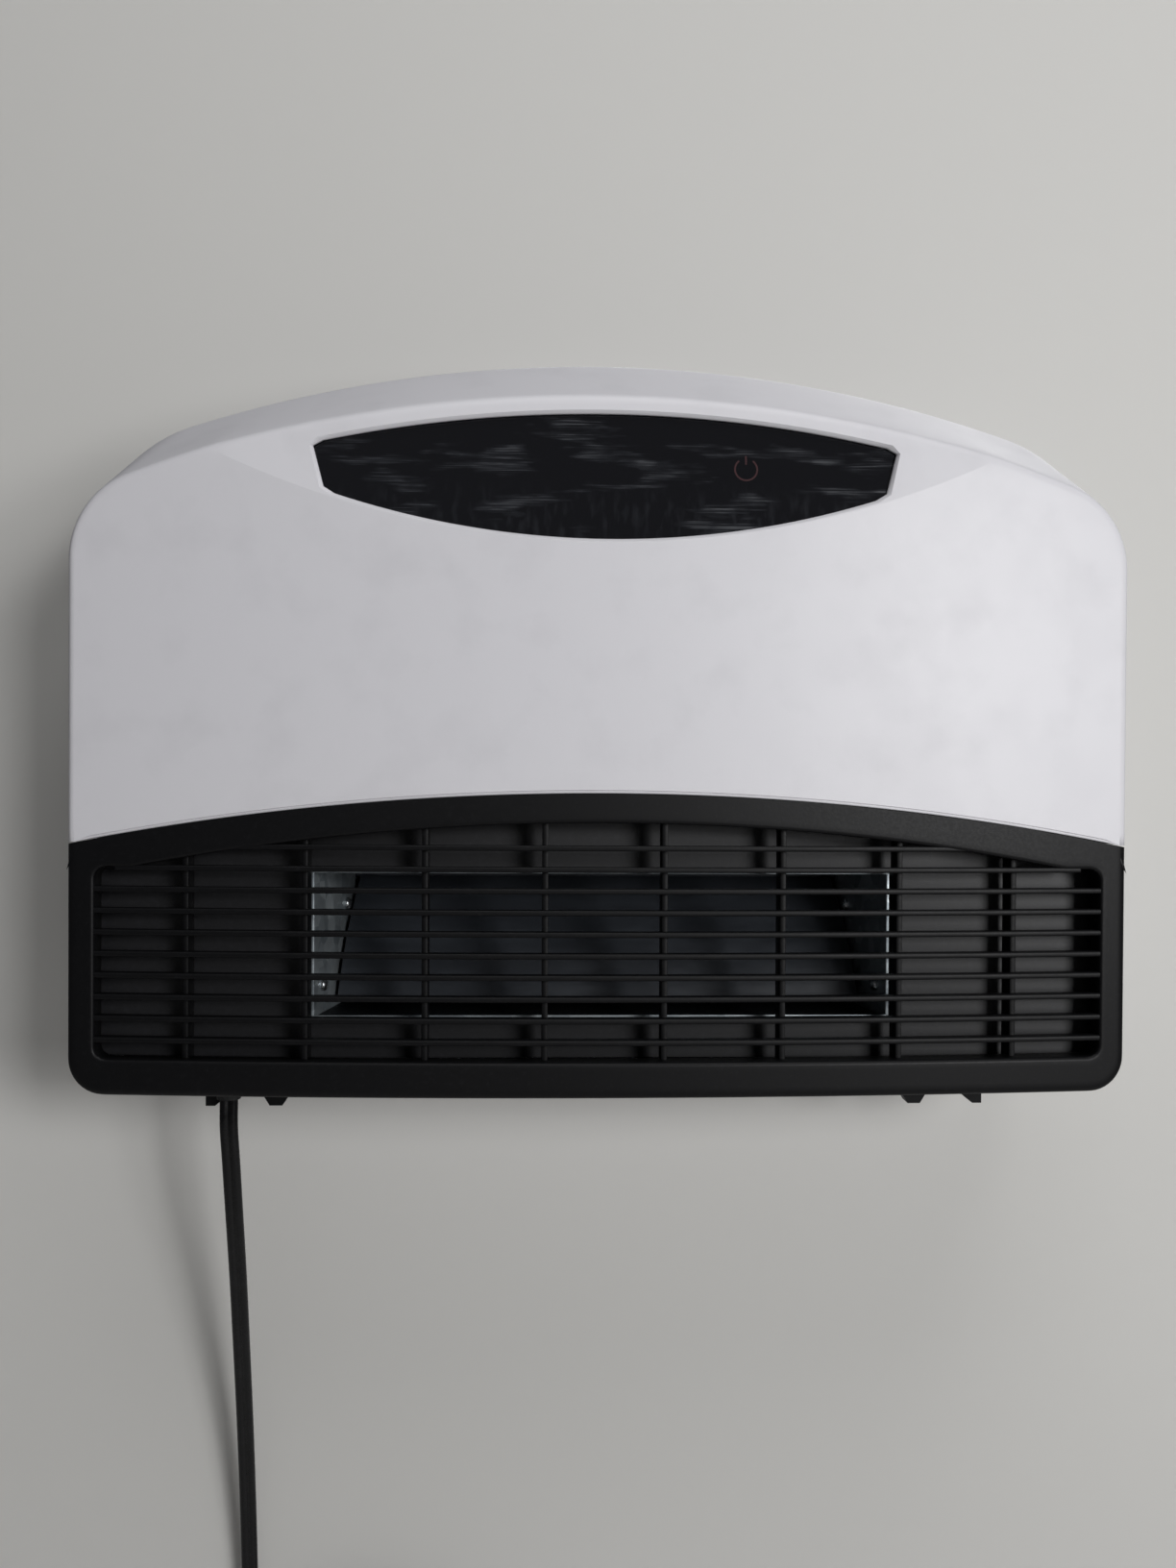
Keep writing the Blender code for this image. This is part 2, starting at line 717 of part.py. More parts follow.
def recess_outline(grow):
    """The grille's opening, grown outwards by this much, clockwise from its top centre."""
    top_z, radius = RECESS_TOP_Z + grow, RECESS_TOP_RADIUS + grow
    shoulder_z = RECESS_SHOULDER_Z + grow
    half, foot_z = RECESS_HALF_WIDTH + grow, RECESS_BOTTOM_Z - grow
    corner = RECESS_CORNER_RADIUS + grow
    reach = math.sqrt(radius**2 - (radius - (top_z - shoulder_z)) ** 2)
    steps = 9
    right = [(reach * k / steps, top_z - sag(radius, reach * k / steps)) for k in range(steps + 1)]
    for centre_z, first in ((shoulder_z - corner, 90), (foot_z + corner, 0)):
        for k in range(4):
            a = math.radians(first - 30 * k)
            right.append(
                (half - corner + corner * math.cos(a), centre_z + corner * math.sin(a))
            )
    left = [(-x, z) for x, z in reversed(right[1:])]
    return right + left


# Front cover

def make_front_cover():
    edge = both_halves(top_half(FRONT_TOP_Z, FRONT_TOP_RADIUS, SHOULDER_RADIUS))
    ridge = both_halves(top_half(RIDGE_Z, RIDGE_TOP_RADIUS, RIDGE_SHOULDER_RADIUS))
    end_z = seam_z(HALF_WIDTH - EDGE_SOFTNESS)
    ends = [(-HALF_WIDTH, end_z, -1.0, 0.0)], [(HALF_WIDTH, end_z, 1.0, 0.0)]
    edge = ends[0] + edge + ends[1]
    ridge = ends[0] + ridge + ends[1]
    mesh = cover_mesh("front_cover", edge, ridge, seam_z, LIP_HEIGHT)
    cover = add("front_cover", mesh, WHITE_PLASTIC)
    thicken(cover, SHELL, -1)
    opening = flat_mesh(
        "window_opening", [window_outline(0)], FACING_FRONT, -BULGE_DEPTH - 0.01, -SIDE_DEPTH + 0.02
    )
    boolean(cover, "DIFFERENCE", cutter("window_opening", opening))
    return cover


def make_window():
    """The lens follows the facet, behind the cover's opening and a little larger."""
    back = SHELL / math.cos(FACET_TILT) + WINDOW_SEAT_GAP
    reach = WINDOW_HALF_WIDTH + 4 * WINDOW_LAP
    low_z, high_z = CREASE_Z - 4 * WINDOW_LAP, FRONT_TOP_Z + 4 * WINDOW_LAP
    columns = spread(reach, 14)
    rows = []
    for share in (0.0, 0.25, 0.5, 0.75, 1.0):
        z = low_z + (high_z - low_z) * share
        rows.append([(x, facet_y(x, z) + back, z) for x in columns])
    window = add("display_window", grid_mesh("display_window", rows), DARK_LENS)
    thicken(window, WINDOW_THICKNESS, -1)
    trim = flat_mesh(
        "window_trim", [window_outline(WINDOW_LAP)], FACING_FRONT, -BULGE_DEPTH - 0.01, -0.08
    )
    boolean(window, "INTERSECT", cutter("window_trim", trim))
    return window


# Grille

def bar_half_length(z):
    """Where a bar at this height ends: in the ring's wall, or in its arched top."""
    into = RING_WALL / 2
    top_z, radius = RECESS_TOP_Z + into, RECESS_TOP_RADIUS + into
    if z + BAR_HEIGHT / 2 < RECESS_SHOULDER_Z:
        return RECESS_HALF_WIDTH + into
    return math.sqrt(radius**2 - (radius - (top_z - z)) ** 2)


def make_bars(group):
    half, nose = BAR_HEIGHT / 2, BAR_HEIGHT / 2 - BAR_CHAMFER
    section = (
        (BAR_CHAMFER, -half),
        (0, -nose),
        (0, nose),
        (BAR_CHAMFER, half),
        (BAR_DEPTH, half),
        (BAR_DEPTH, -half),
    )
    for k in range(BAR_COUNT):
        z = SEAM_Z - BAR_FIRST_DROP - BAR_PITCH * k
        loops = []
        for x in spread(bar_half_length(z), BAR_STEPS):
            y = front_y(x) + BAR_SETBACK
            loops.append([(x, y + dy, z + dz) for dy, dz in section])
        cutter(f"bar_{k + 1}", loft_mesh(f"bar_{k + 1}", loops), group)


def recess_top(x):
    """The height of the recess's upper edge at x."""
    return max(RECESS_TOP_Z - sag(RECESS_TOP_RADIUS, x), RECESS_SHOULDER_Z)


def make_ribs(group):
    for k in range(RIB_COUNT):
        x = RIB_PITCH * (k - (RIB_COUNT - 1) / 2)
        y = front_y(x) + BAR_SETBACK + BAR_DEPTH - RIB_OVERLAP
        low = (x - RIB_WIDTH / 2, y, RECESS_BOTTOM_Z - RING_WALL / 2)
        high = (x + RIB_WIDTH / 2, y + RIB_DEPTH, recess_top(x) + RING_WALL / 2)
        cutter(f"rib_{k + 1}", box_mesh(f"rib_{k + 1}", low, high), group)


def make_grille():
    """One moulding: the frame, the wall round its recess, the curved bars and the ribs."""
    edge = list(reversed(both_halves(bottom_half(BOTTOM_Z, BOTTOM_CORNER_RADIUS))))
    end_z = seam_z(HALF_WIDTH - EDGE_SOFTNESS) - GAP
    edge = [(HALF_WIDTH, end_z, 1.0, 0.0)] + edge + [(-HALF_WIDTH, end_z, -1.0, 0.0)]
    mesh = cover_mesh("grille", edge, edge, lambda x: seam_z(x) - GAP, 0)
    grille = add("grille", mesh, BLACK_PLASTIC)
    thicken(grille, SHELL, -1)

    slack = RING_WALL / 4
    inner, outer = recess_outline(-slack), recess_outline(RING_WALL)

    def at_depth(outline, depth):
        return [(x, front_y(x) + depth, z) for x, z in outline]

    ring = loft_mesh(
        "recess_ring",
        [
            at_depth(outer, RING_FRONT),
            at_depth(outer, RING_DEPTH),
            at_depth(inner, RING_DEPTH),
            at_depth(inner, RING_FRONT),
        ],
        ring=True,
    )
    boolean(grille, "UNION", cutter("recess_ring", ring))
    recess = flat_mesh(
        "recess", [recess_outline(0)], FACING_FRONT, -BULGE_DEPTH - 0.01, BAFFLE_FRONT_Y + 0.02
    )
    boolean(grille, "DIFFERENCE", cutter("recess", recess))
    bars = cutter_group("bars_and_ribs")
    make_bars(bars)
    make_ribs(bars)
    boolean(grille, "UNION", bars)
    boolean(grille, "DIFFERENCE", cutter("cord_notch_front", relief_hole("cord_notch_front")))
    return grille


# Baffle and duct

def plate_x(y):
    """The inner face of the duct's right-hand side plate."""
    if y >= THROAT_Y:
        return THROAT_HALF_WIDTH
    share = (THROAT_Y - y) / (THROAT_Y - MOUTH_Y)
    return THROAT_HALF_WIDTH + (MOUTH_HALF_WIDTH - THROAT_HALF_WIDTH) * share


def make_baffle():
    margin = BAFFLE_MARGIN
    half = RECESS_HALF_WIDTH + margin
    outline = recess_outline(margin)
    outline = [(max(-half, min(half, x)), z) for x, z in outline]
    reach = MOUTH_HALF_WIDTH + DUCT_SIDE_GAP
    edge = SHEET + DUCT_CLEARANCE
    mouth = rectangle(-reach, DUCT_FLOOR_Z - edge, reach, DUCT_TOP_Z + edge)
    mesh = flat_mesh("baffle", [outline, mouth], FACING_FRONT, BAFFLE_FRONT_Y, BAFFLE_BACK_Y)
    return add("baffle", mesh, BLACK_PLASTIC)


def duct_side_outline():
    """The outline of a side plate, in y and z."""
    back_y = SCROLL_BACK_Y + DUCT_EDGE
    edge = SHEET * 0.5
    top_z, floor_z = DUCT_TOP_Z + edge, DUCT_FLOOR_Z - edge
    hood = back_y - FAN_Y
    outline = [(MOUTH_Y, floor_z), (MOUTH_Y, top_z), (FAN_Y - hood, top_z)]
    for k in range(9):
        a = math.pi - math.pi * k / 8
        outline.append((FAN_Y + hood * math.cos(a), FAN_Z + hood * math.sin(a)))
    radius = SCROLL_RADIUS + DUCT_EDGE
    centre_y, centre_z = back_y - radius, floor_z + radius
    for k in range(7):
        a = -math.pi / 2 * k / 6
        outline.append((centre_y + radius * math.cos(a), centre_z + radius * math.sin(a)))
    return outline


def make_side_plate(name, side):
    """A bent side plate of the duct: side is 1 at the right and -1 at the left."""
    back_y = SCROLL_BACK_Y + DUCT_EDGE
    low_z, high_z = DUCT_FLOOR_Z - 0.02, FAN_Z + FAN_RADIUS + 0.03
    plan = [(plate_x(y), y) for y in (MOUTH_Y - 0.001, THROAT_Y, back_y + 0.001)]
    rows = [[(side * x, y, z) for z in (low_z, high_z)] for x, y in plan]
    plate = add(name, grid_mesh(name, rows), ZINC_SHEET)
    thicken(plate, SHEET, -side)
    trim = flat_mesh(f"{name}_trim", [duct_side_outline()], FACING_SIDE, side * 0.08, side * 0.14)
    boolean(plate, "INTERSECT", cutter(f"{name}_trim", trim))
    holes = cutter_group(f"{name}_holes")
    shaft = BEARING_RADIUS + GAP
    axle = BUSH_WALL + PIN_RADIUS + RUNNING_GAP + GAP
    for label, y, z, radius in (
        ("shaft", FAN_Y, FAN_Z, shaft if side > 0 else axle),
        ("flap", FLAP_HINGE_Y, FLAP_HINGE_Z, FLAP_PIN_RADIUS + RUNNING_GAP),
    ):
        hole = rod_mesh(label, (side * 0.09, y, z), (side * 0.13, y, z), radius, 16)
        cutter(f"{name}_{label}", hole, holes)
    boolean(plate, "DIFFERENCE", holes)
    return plate


def sheet_between_plates(name, path, material):
    """A bent sheet that spans the duct from plate to plate along a path of (y, z)."""
    rows = []
    for y, z in path:
        reach = plate_x(y) - GAP
        rows.append([(-reach, y, z), (reach, y, z)])
    sheet = add(name, grid_mesh(name, rows), material)
    thicken(sheet, SHEET, 1)
    return sheet


def make_duct():
    make_side_plate("duct_side_right", 1)
    make_side_plate("duct_side_left", -1)
    nose = FAN_RADIUS + 0.0045
    roof_back_y = FLAP_HINGE_Y - 0.002
    roof = [(MOUTH_Y, DUCT_TOP_Z), (THROAT_Y, DUCT_TOP_Z), (roof_back_y, DUCT_TOP_Z)]
    for degrees in (230, 212, 195, 180):
        a = math.radians(degrees)
        roof.append((FAN_Y + nose * math.cos(a), FAN_Z + nose * math.sin(a)))
    sheet_between_plates("duct_roof", roof, ZINC_SHEET)
    centre_y, centre_z = SCROLL_BACK_Y - SCROLL_RADIUS, DUCT_FLOOR_Z + SCROLL_RADIUS
    scroll = [(SCROLL_BACK_Y, FAN_Z)]
    for k in range(9):
        a = -math.pi / 2 * k / 8
        scroll.append(
            (centre_y + SCROLL_RADIUS * math.cos(a), centre_z + SCROLL_RADIUS * math.sin(a))
        )
    scroll.append((MOUTH_Y, DUCT_FLOOR_Z))
    sheet_between_plates("duct_scroll", scroll, ZINC_SHEET)


# Air flap, hinged at its upper rear edge

def make_flap():
    hinge = Vector((0, FLAP_HINGE_Y, FLAP_HINGE_Z))
    edge = Vector((0, FLAP_EDGE_Y, FLAP_EDGE_Z))
    along = edge - hinge
    across = Vector((0, along.z, -along.y)).normalized()
    rows = []
    for k in range(FLAP_STEPS + 1):
        share = 0.04 + 0.96 * k / FLAP_STEPS
        bow = FLAP_BOW * 4 * share * (1 - share)
        p = along * share + across * bow
        reach = plate_x(hinge.y + p.y) - FLAP_SIDE_GAP
        rows.append([(-reach, p.y, p.z), (reach, p.y, p.z)])
    flap = add("air_flap", grid_mesh("air_flap", rows), FLAP_PLASTIC)
    flap.location = hinge
    thicken(flap, FLAP_THICKNESS, 0)
    ends = cutter_group("flap_barrel")
    barrel = plate_x(FLAP_HINGE_Y) - FLAP_SIDE_GAP
    pin = flap_motor_face() + FLAP_PIN_REACH
    for label, reach, radius in (("barrel", barrel, FLAP_BARREL_RADIUS), ("pin", pin, FLAP_PIN_RADIUS)):
        half = Vector((reach, 0, 0))
        cutter(f"flap_{label}", rod_mesh(label, hinge - half, hinge + half, radius, 12), ends)
    boolean(flap, "UNION", ends)
    return flap


# Fan

def blade_section(turn):
    """A curved blade's section in y and z, its foot at this angle round the axis."""
    foot_radius = FAN_RADIUS - BLADE_CHORD
    tip_radius = FAN_RADIUS - FAN_DISC / 4
    lean = BLADE_PITCH_ANGLE / 2
    faces = []
    for half in (BLADE_THICKNESS / 2, -BLADE_THICKNESS / 2):
        face = []
        for share in (0.0, 0.5, 1.0):
            radius = foot_radius + (tip_radius - foot_radius) * share
            a = turn + lean * share**2 + half / radius
            face.append((FAN_Y + radius * math.cos(a), FAN_Z + radius * math.sin(a)))
        faces.append(face)
    return faces[0] + faces[1][::-1]


def make_fan_wheel():
    """The cross-flow wheel: end discs, rings between them, and blades all the way along."""
    half = FAN_HALF_LENGTH
    pin_end = PLATE_OUTER_X + BUSH_FLANGE
    bore = SHAFT_RADIUS + RUNNING_GAP
    left = (
        (-pin_end, 0),
        (-pin_end, PIN_RADIUS),
        (-half, PIN_RADIUS),
        (-half, FAN_RADIUS),
        (-half + FAN_DISC, FAN_RADIUS),
        (-half + FAN_DISC, 0),
    )
    hub_end = half - HUB_LENGTH
    right = (
        (hub_end, 0),
        (hub_end, HUB_RADIUS),
        (half - FAN_DISC, HUB_RADIUS),
        (half - FAN_DISC, FAN_RADIUS),
        (half, FAN_RADIUS),
        (half, bore),
        (hub_end + FAN_DISC, bore),
        (hub_end + FAN_DISC, 0),
    )
    profiles = [left, right]
    eye = FAN_RADIUS - BLADE_CHORD - FAN_DISC
    for x in (-half / 3, half / 3):
        ring = (
            (x - FAN_DISC / 2, FAN_RADIUS),
            (x + FAN_DISC / 2, FAN_RADIUS),
            (x + FAN_DISC / 2, eye),
            (x - FAN_DISC / 2, eye),
        )
        profiles.append(ring)
    wheel = turned("fan_wheel", profiles, (0, FAN_Y, FAN_Z), (1, 0, 0), GREY_PLASTIC)
    blades = cutter_group("fan_blades")
    reach = half - FAN_DISC / 2
    for k in range(BLADE_COUNT):
        section = blade_section(2 * math.pi * k / BLADE_COUNT)
        loops = [[(x, y, z) for y, z in section] for x in (-reach, reach)]
        cutter(f"blade_{k + 1}", loft_mesh(f"blade_{k + 1}", loops), blades)
    boolean(wheel, "UNION", blades)
    return wheel


def make_fan_bush():
    """The rubber bush in the left side plate, with a flange outside the sheet."""
    inner = PIN_RADIUS + RUNNING_GAP
    neck = inner + BUSH_WALL
    flange = neck + BUSH_WALL / 2
    face = -PLATE_OUTER_X
    profile = (
        (face - GAP - BUSH_FLANGE, inner),
        (face - GAP - BUSH_FLANGE, flange),
        (face - GAP, flange),
        (face - GAP, neck),
        (face + SHEET + GAP, neck),
        (face + SHEET + GAP, inner),
    )
    return turned("fan_bush", [profile], (0, FAN_Y, FAN_Z), (1, 0, 0), RUBBER)


# Motor

def make_motor():
    """A shaded-pole motor: a laminated stack and its coil between two brackets, with the
    rotor on a shaft that drives the wheel's hub."""
    low_z, high_z = FAN_Z - STACK_BELOW, FAN_Z + STACK_ABOVE
    half = STACK_WIDTH / 2
    window_top = high_z - YOKE_HEIGHT
    window = rectangle(
        FAN_Y - YOKE_WINDOW_WIDTH / 2,
        window_top - YOKE_WINDOW_HEIGHT,
        FAN_Y + YOKE_WINDOW_WIDTH / 2,
        window_top,
    )
    stack = flat_mesh(
        "motor_stack",
        [
            rectangle(FAN_Y - half, low_z, FAN_Y + half, high_z),
            circle(FAN_Y, FAN_Z, ROTOR_RADIUS + ROTOR_AIR_GAP),
            window,
        ],
        FACING_SIDE,
        STACK_X,
        STACK_X + STACK_THICKNESS,
    )
    add("motor_stack", stack, STEEL, smooth=False)

    middle_x = STACK_X + STACK_THICKNESS / 2
    middle_z = high_z - YOKE_HEIGHT / 2
    hole_width, hole_height = STACK_THICKNESS + 2 * GAP, YOKE_HEIGHT + 2 * GAP
    outer = (
        middle_x - hole_width / 2 - COIL_WALL,
        middle_z - hole_height / 2 - COIL_WALL,
        middle_x + hole_width / 2 + COIL_WALL,
        middle_z + hole_height / 2 + COIL_WALL,
    )
    hole = (
        middle_x - hole_width / 2,
        middle_z - hole_height / 2,
        middle_x + hole_width / 2,
        middle_z + hole_height / 2,
    )
    coil = flat_mesh(
        "motor_coil",
        [rectangle(*outer), rectangle(*hole)],
        FACING_FRONT,
        FAN_Y - COIL_LENGTH / 2,
        FAN_Y + COIL_LENGTH / 2,
    )
    add("motor_coil", coil, COPPER, smooth=False)

    far_x = STACK_X + STACK_THICKNESS + GAP
    make_bracket("motor_bracket_inner", STACK_X - GAP, -1)
    make_bracket("motor_bracket_outer", far_x, 1)
    make_rotor()


def make_bracket(name, foot_x, side):
    """A bent bracket whose two feet stand on the stack, with a hole for the bearing."""
    web = foot_x + side * BRACKET_REACH
    outer = web + side * BRACKET_SHEET
    half = BRACKET_WIDTH / 2
    inner = half - BRACKET_SHEET
    outline = [
        (foot_x, FAN_Y - half),
        (outer, FAN_Y - half),
        (outer, FAN_Y + half),
        (foot_x, FAN_Y + half),
        (foot_x, FAN_Y + inner),
        (web, FAN_Y + inner),
        (web, FAN_Y - inner),
        (foot_x, FAN_Y - inner),
    ]
    low_z, high_z = FAN_Z - BRACKET_HEIGHT / 2, FAN_Z + BRACKET_HEIGHT / 2
    bracket = add(name, flat_mesh(name, [outline], FACING_UP, low_z, high_z), ZINC_SHEET, smooth=False)
    low_x, high_x = sorted((web - side * 0.001, outer + side * 0.001))
    hole = rod_mesh(
        f"{name}_hole", (low_x, FAN_Y, FAN_Z), (high_x, FAN_Y, FAN_Z), BEARING_RADIUS + GAP, 16
    )
    boolean(bracket, "DIFFERENCE", cutter(f"{name}_hole", hole))
    return bracket


def bearing_places():
    """The inner and the outer bearing, each from its outside face inwards."""
    inner_web = STACK_X - GAP - BRACKET_REACH
    outer_web = STACK_X + STACK_THICKNESS + GAP + BRACKET_REACH
    return (inner_web - BRACKET_SHEET, 1), (outer_web + BRACKET_SHEET, -1)


def make_rotor():
    bore = SHAFT_RADIUS + RUNNING_GAP
    for name, (face, way) in zip(("motor_bearing_inner", "motor_bearing_outer"), bearing_places()):
        ends = sorted((face, face + way * BEARING_LENGTH))
        profile = (
            (ends[0], BEARING_RADIUS),
            (ends[1], BEARING_RADIUS),
            (ends[1], bore),
            (ends[0], bore),
        )
        turned(name, [profile], (0, FAN_Y, FAN_Z), (1, 0, 0), BRASS, 16)

    middle_x = STACK_X + STACK_THICKNESS / 2
    start = FAN_HALF_LENGTH - HUB_LENGTH + FAN_DISC + GAP
    end = bearing_places()[1][0] + BRACKET_SHEET
    profile = (
        (start, 0),
        (start, SHAFT_RADIUS),
        (middle_x - ROTOR_LENGTH / 2, SHAFT_RADIUS),
        (middle_x - ROTOR_LENGTH / 2, ROTOR_RADIUS),
        (middle_x + ROTOR_LENGTH / 2, ROTOR_RADIUS),
        (middle_x + ROTOR_LENGTH / 2, SHAFT_RADIUS),
        (end, SHAFT_RADIUS),
        (end, 0),
    )
    turned("motor_rotor", [profile], (0, FAN_Y, FAN_Z), (1, 0, 0), STEEL)


# Heating element

def make_heater():
    """A ceramic heating block: two long rails with thin fins across, between end blocks."""
    half = HEATER_HALF_LENGTH
    low_y, high_y = HEATER_CENTRE_Y - HEATER_WIDTH / 2, HEATER_CENTRE_Y + HEATER_WIDTH / 2
    low_z, high_z = HEATER_CENTRE_Z - HEATER_HEIGHT / 2, HEATER_CENTRE_Z + HEATER_HEIGHT / 2
    rail = add(
        "heating_element",
        box_mesh("heating_element", (-half, low_y, low_z), (half, low_y + HEATER_RAIL, high_z)),
        ALUMINIUM,
        smooth=False,
    )
    group = cutter_group("heater_fins")
    far = box_mesh("heater_rail", (-half, high_y - HEATER_RAIL, low_z), (half, high_y, high_z))
    cutter("heater_rail", far, group)
    inset = HEATER_RAIL / 6
    for k in range(HEATER_FIN_COUNT):
        x = -half + 2 * half * (k + 0.5) / HEATER_FIN_COUNT
        fin = box_mesh(
            "heater_fin",
            (x - HEATER_FIN / 2, low_y + HEATER_RAIL - inset, low_z + inset),
            (x + HEATER_FIN / 2, high_y - HEATER_RAIL + inset, high_z - inset),
        )
        cutter(f"heater_fin_{k + 1}", fin, group)
    boolean(rail, "UNION", group)

    tall, wide = HEATER_HEIGHT / 2 + HEATER_RAIL / 2, HEATER_WIDTH / 2 + HEATER_RAIL / 2
    for name, side in (("heater_end_left", -1), ("heater_end_right", 1)):
        near, far = sorted((side * (half + GAP), side * (THROAT_HALF_WIDTH - GAP)))
        low = (near, HEATER_CENTRE_Y - wide, HEATER_CENTRE_Z - tall)
        high = (far, HEATER_CENTRE_Y + wide, HEATER_CENTRE_Z + tall)
        soft_block(name, low, high, HEATER_RAIL / 4, GREY_PLASTIC)


def flap_motor_face():
    """Where the flap's motor starts: past the side plate's flare beside it."""
    return plate_x(FLAP_HINGE_Y - FLAP_MOTOR_RADIUS) + 1.1 * SHEET + GAP


def make_flap_motor():
    """The small geared motor that turns the flap, on the right side plate."""
    face = flap_motor_face()
    bore = FLAP_PIN_RADIUS + RUNNING_GAP
    bore_end = face + FLAP_PIN_REACH + GAP
    back = face + FLAP_MOTOR_LENGTH
    soft = EDGE_SOFTNESS / 3
    profile = (
        (back, 0),
        (back, FLAP_MOTOR_RADIUS - soft),
        (back - soft, FLAP_MOTOR_RADIUS),
        (face + soft, FLAP_MOTOR_RADIUS),
        (face, FLAP_MOTOR_RADIUS - soft),
        (face, bore),
        (bore_end, bore),
        (bore_end, 0),
    )
    turned("flap_motor", [profile], (0, FLAP_HINGE_Y, FLAP_HINGE_Z), (1, 0, 0), STEEL)


def make_thermal_cutoff():
    """The overheat switch, a round can on the left side plate."""
    face = -PLATE_OUTER_X - GAP
    depth = CUTOFF_DEPTH
    profile = (
        (face - depth, 0),
        (face - depth, CUTOFF_RADIUS * 0.8),
        (face - depth * 0.7, CUTOFF_RADIUS),
        (face, CUTOFF_RADIUS),
        (face, 0),
    )
    centre = (0, HEATER_CENTRE_Y, HEATER_CENTRE_Z)
    turned("thermal_cutoff", [profile], centre, (1, 0, 0), ALUMINIUM, 16)


# Display, behind the window and tilted with it

def make_display():
    module_z = FRONT_TOP_Z - MODULE_BELOW_EDGE
    slant = 1 / math.cos(FACET_TILT)
    back = SHELL * slant + WINDOW_SEAT_GAP + WINDOW_THICKNESS * slant
    tilt = bpy.data.objects.new("display_tilt", None)
    parts.objects.link(tilt)
    tilt.location = (0, facet_y(0, module_z) + back, module_z)
    tilt.rotation_euler = (-FACET_TILT, 0, 0)

    def behind_window(half_width, centre=0.0):
        """How deep a flat piece starts, to stay clear of the curved lens."""
        edges = (abs(centre) - half_width, abs(centre) + half_width)
        return GAP + max(0.0, *(facet_y(x, module_z) - facet_y(0, module_z) for x in edges))

    front = behind_window(MODULE_WIDTH / 2) + GAP
    board_front = front + MODULE_DEPTH + GAP
    pieces = []
    half = MODULE_HEIGHT / 2
    module = box_mesh(
        "display_module",
        (-MODULE_WIDTH / 2, front, -half),
        (MODULE_WIDTH / 2, front + MODULE_DEPTH, half),
    )
    pieces.append(add("display_module", module, GREY_PLASTIC, smooth=False))
    board = box_mesh(
        "display_board",
        (-DISPLAY_BOARD_WIDTH / 2, board_front, -DISPLAY_BOARD_HEIGHT / 2),
        (DISPLAY_BOARD_WIDTH / 2, board_front + BOARD_THICKNESS, DISPLAY_BOARD_HEIGHT / 2),
    )
    pieces.append(add("display_board", board, BOARD_GREEN, smooth=False))

    start = behind_window(TOUCH_PAD_RADIUS, TOUCH_PAD_X) + GAP
    radius, stem = TOUCH_PAD_RADIUS, TOUCH_PAD_RADIUS / 3
    plate = start + BOARD_THICKNESS
    profile = (
        (start, 0),
        (start, radius),
        (plate, radius),
        (plate, stem),
        (board_front - GAP, stem),
        (board_front - GAP, 0),
    )
    pieces.append(turned("touch_pad", [profile], (TOUCH_PAD_X, 0, 0), (0, 1, 0), BRASS, 16))

    size = RECEIVER_SIZE
    receiver = box_mesh(
        "remote_receiver",
        (RECEIVER_X - size / 2, board_front - GAP - size, -size / 2),
        (RECEIVER_X + size / 2, board_front - GAP, size / 2),
    )
    pieces.append(add("remote_receiver", receiver, DARK_LENS, smooth=False))
    for piece in pieces:
        piece.parent = tilt


# Power board

def make_power_board():
    back = -SHELL - BOARD_STANDOFF - GAP
    front = back - BOARD_THICKNESS
    x, z = POWER_BOARD_X, POWER_BOARD_Z
    half_w, half_h = POWER_BOARD_WIDTH / 2, POWER_BOARD_HEIGHT / 2
    board = box_mesh("power_board", (x - half_w, front, z - half_h), (x + half_w, back, z + half_h))
    add("power_board", board, BOARD_GREEN, smooth=False)

    def block(name, sizes, centre_x, centre_z, material):
        width, height, depth = sizes
        low = (centre_x - width / 2, front - GAP - depth, centre_z - height / 2)
        high = (centre_x + width / 2, front - GAP, centre_z + height / 2)
        soft_block(name, low, high, GAP * 2, material)

    top = z + half_h - BOARD_INSET - RELAY_SIZE[1]
    left = x - half_w + BOARD_INSET + RELAY_SIZE[0] / 2
    block("relay_left", RELAY_SIZE, left, top, BLUE_PLASTIC)
    block("relay_right", RELAY_SIZE, left + RELAY_SIZE[0] + BOARD_INSET, top, BLUE_PLASTIC)
    low = z - half_h + BOARD_INSET + TERMINAL_SIZE[1]
    block("terminal_block", TERMINAL_SIZE, left + TERMINAL_SIZE[0] / 4, low, GREY_PLASTIC)
    side = x + half_w - BOARD_INSET - TRANSFORMER_SIZE[0] / 2
    block("transformer", TRANSFORMER_SIZE, side, z, DARK_SHEET)
    profile = (
        (front - GAP, 0),
        (front - GAP, CAPACITOR_RADIUS),
        (front - GAP - CAPACITOR_LENGTH, CAPACITOR_RADIUS),
        (front - GAP - CAPACITOR_LENGTH, 0),
    )
    turned("capacitor", [profile], (left, 0, z), (0, 1, 0), SLEEVE, 16)


# Rear housing

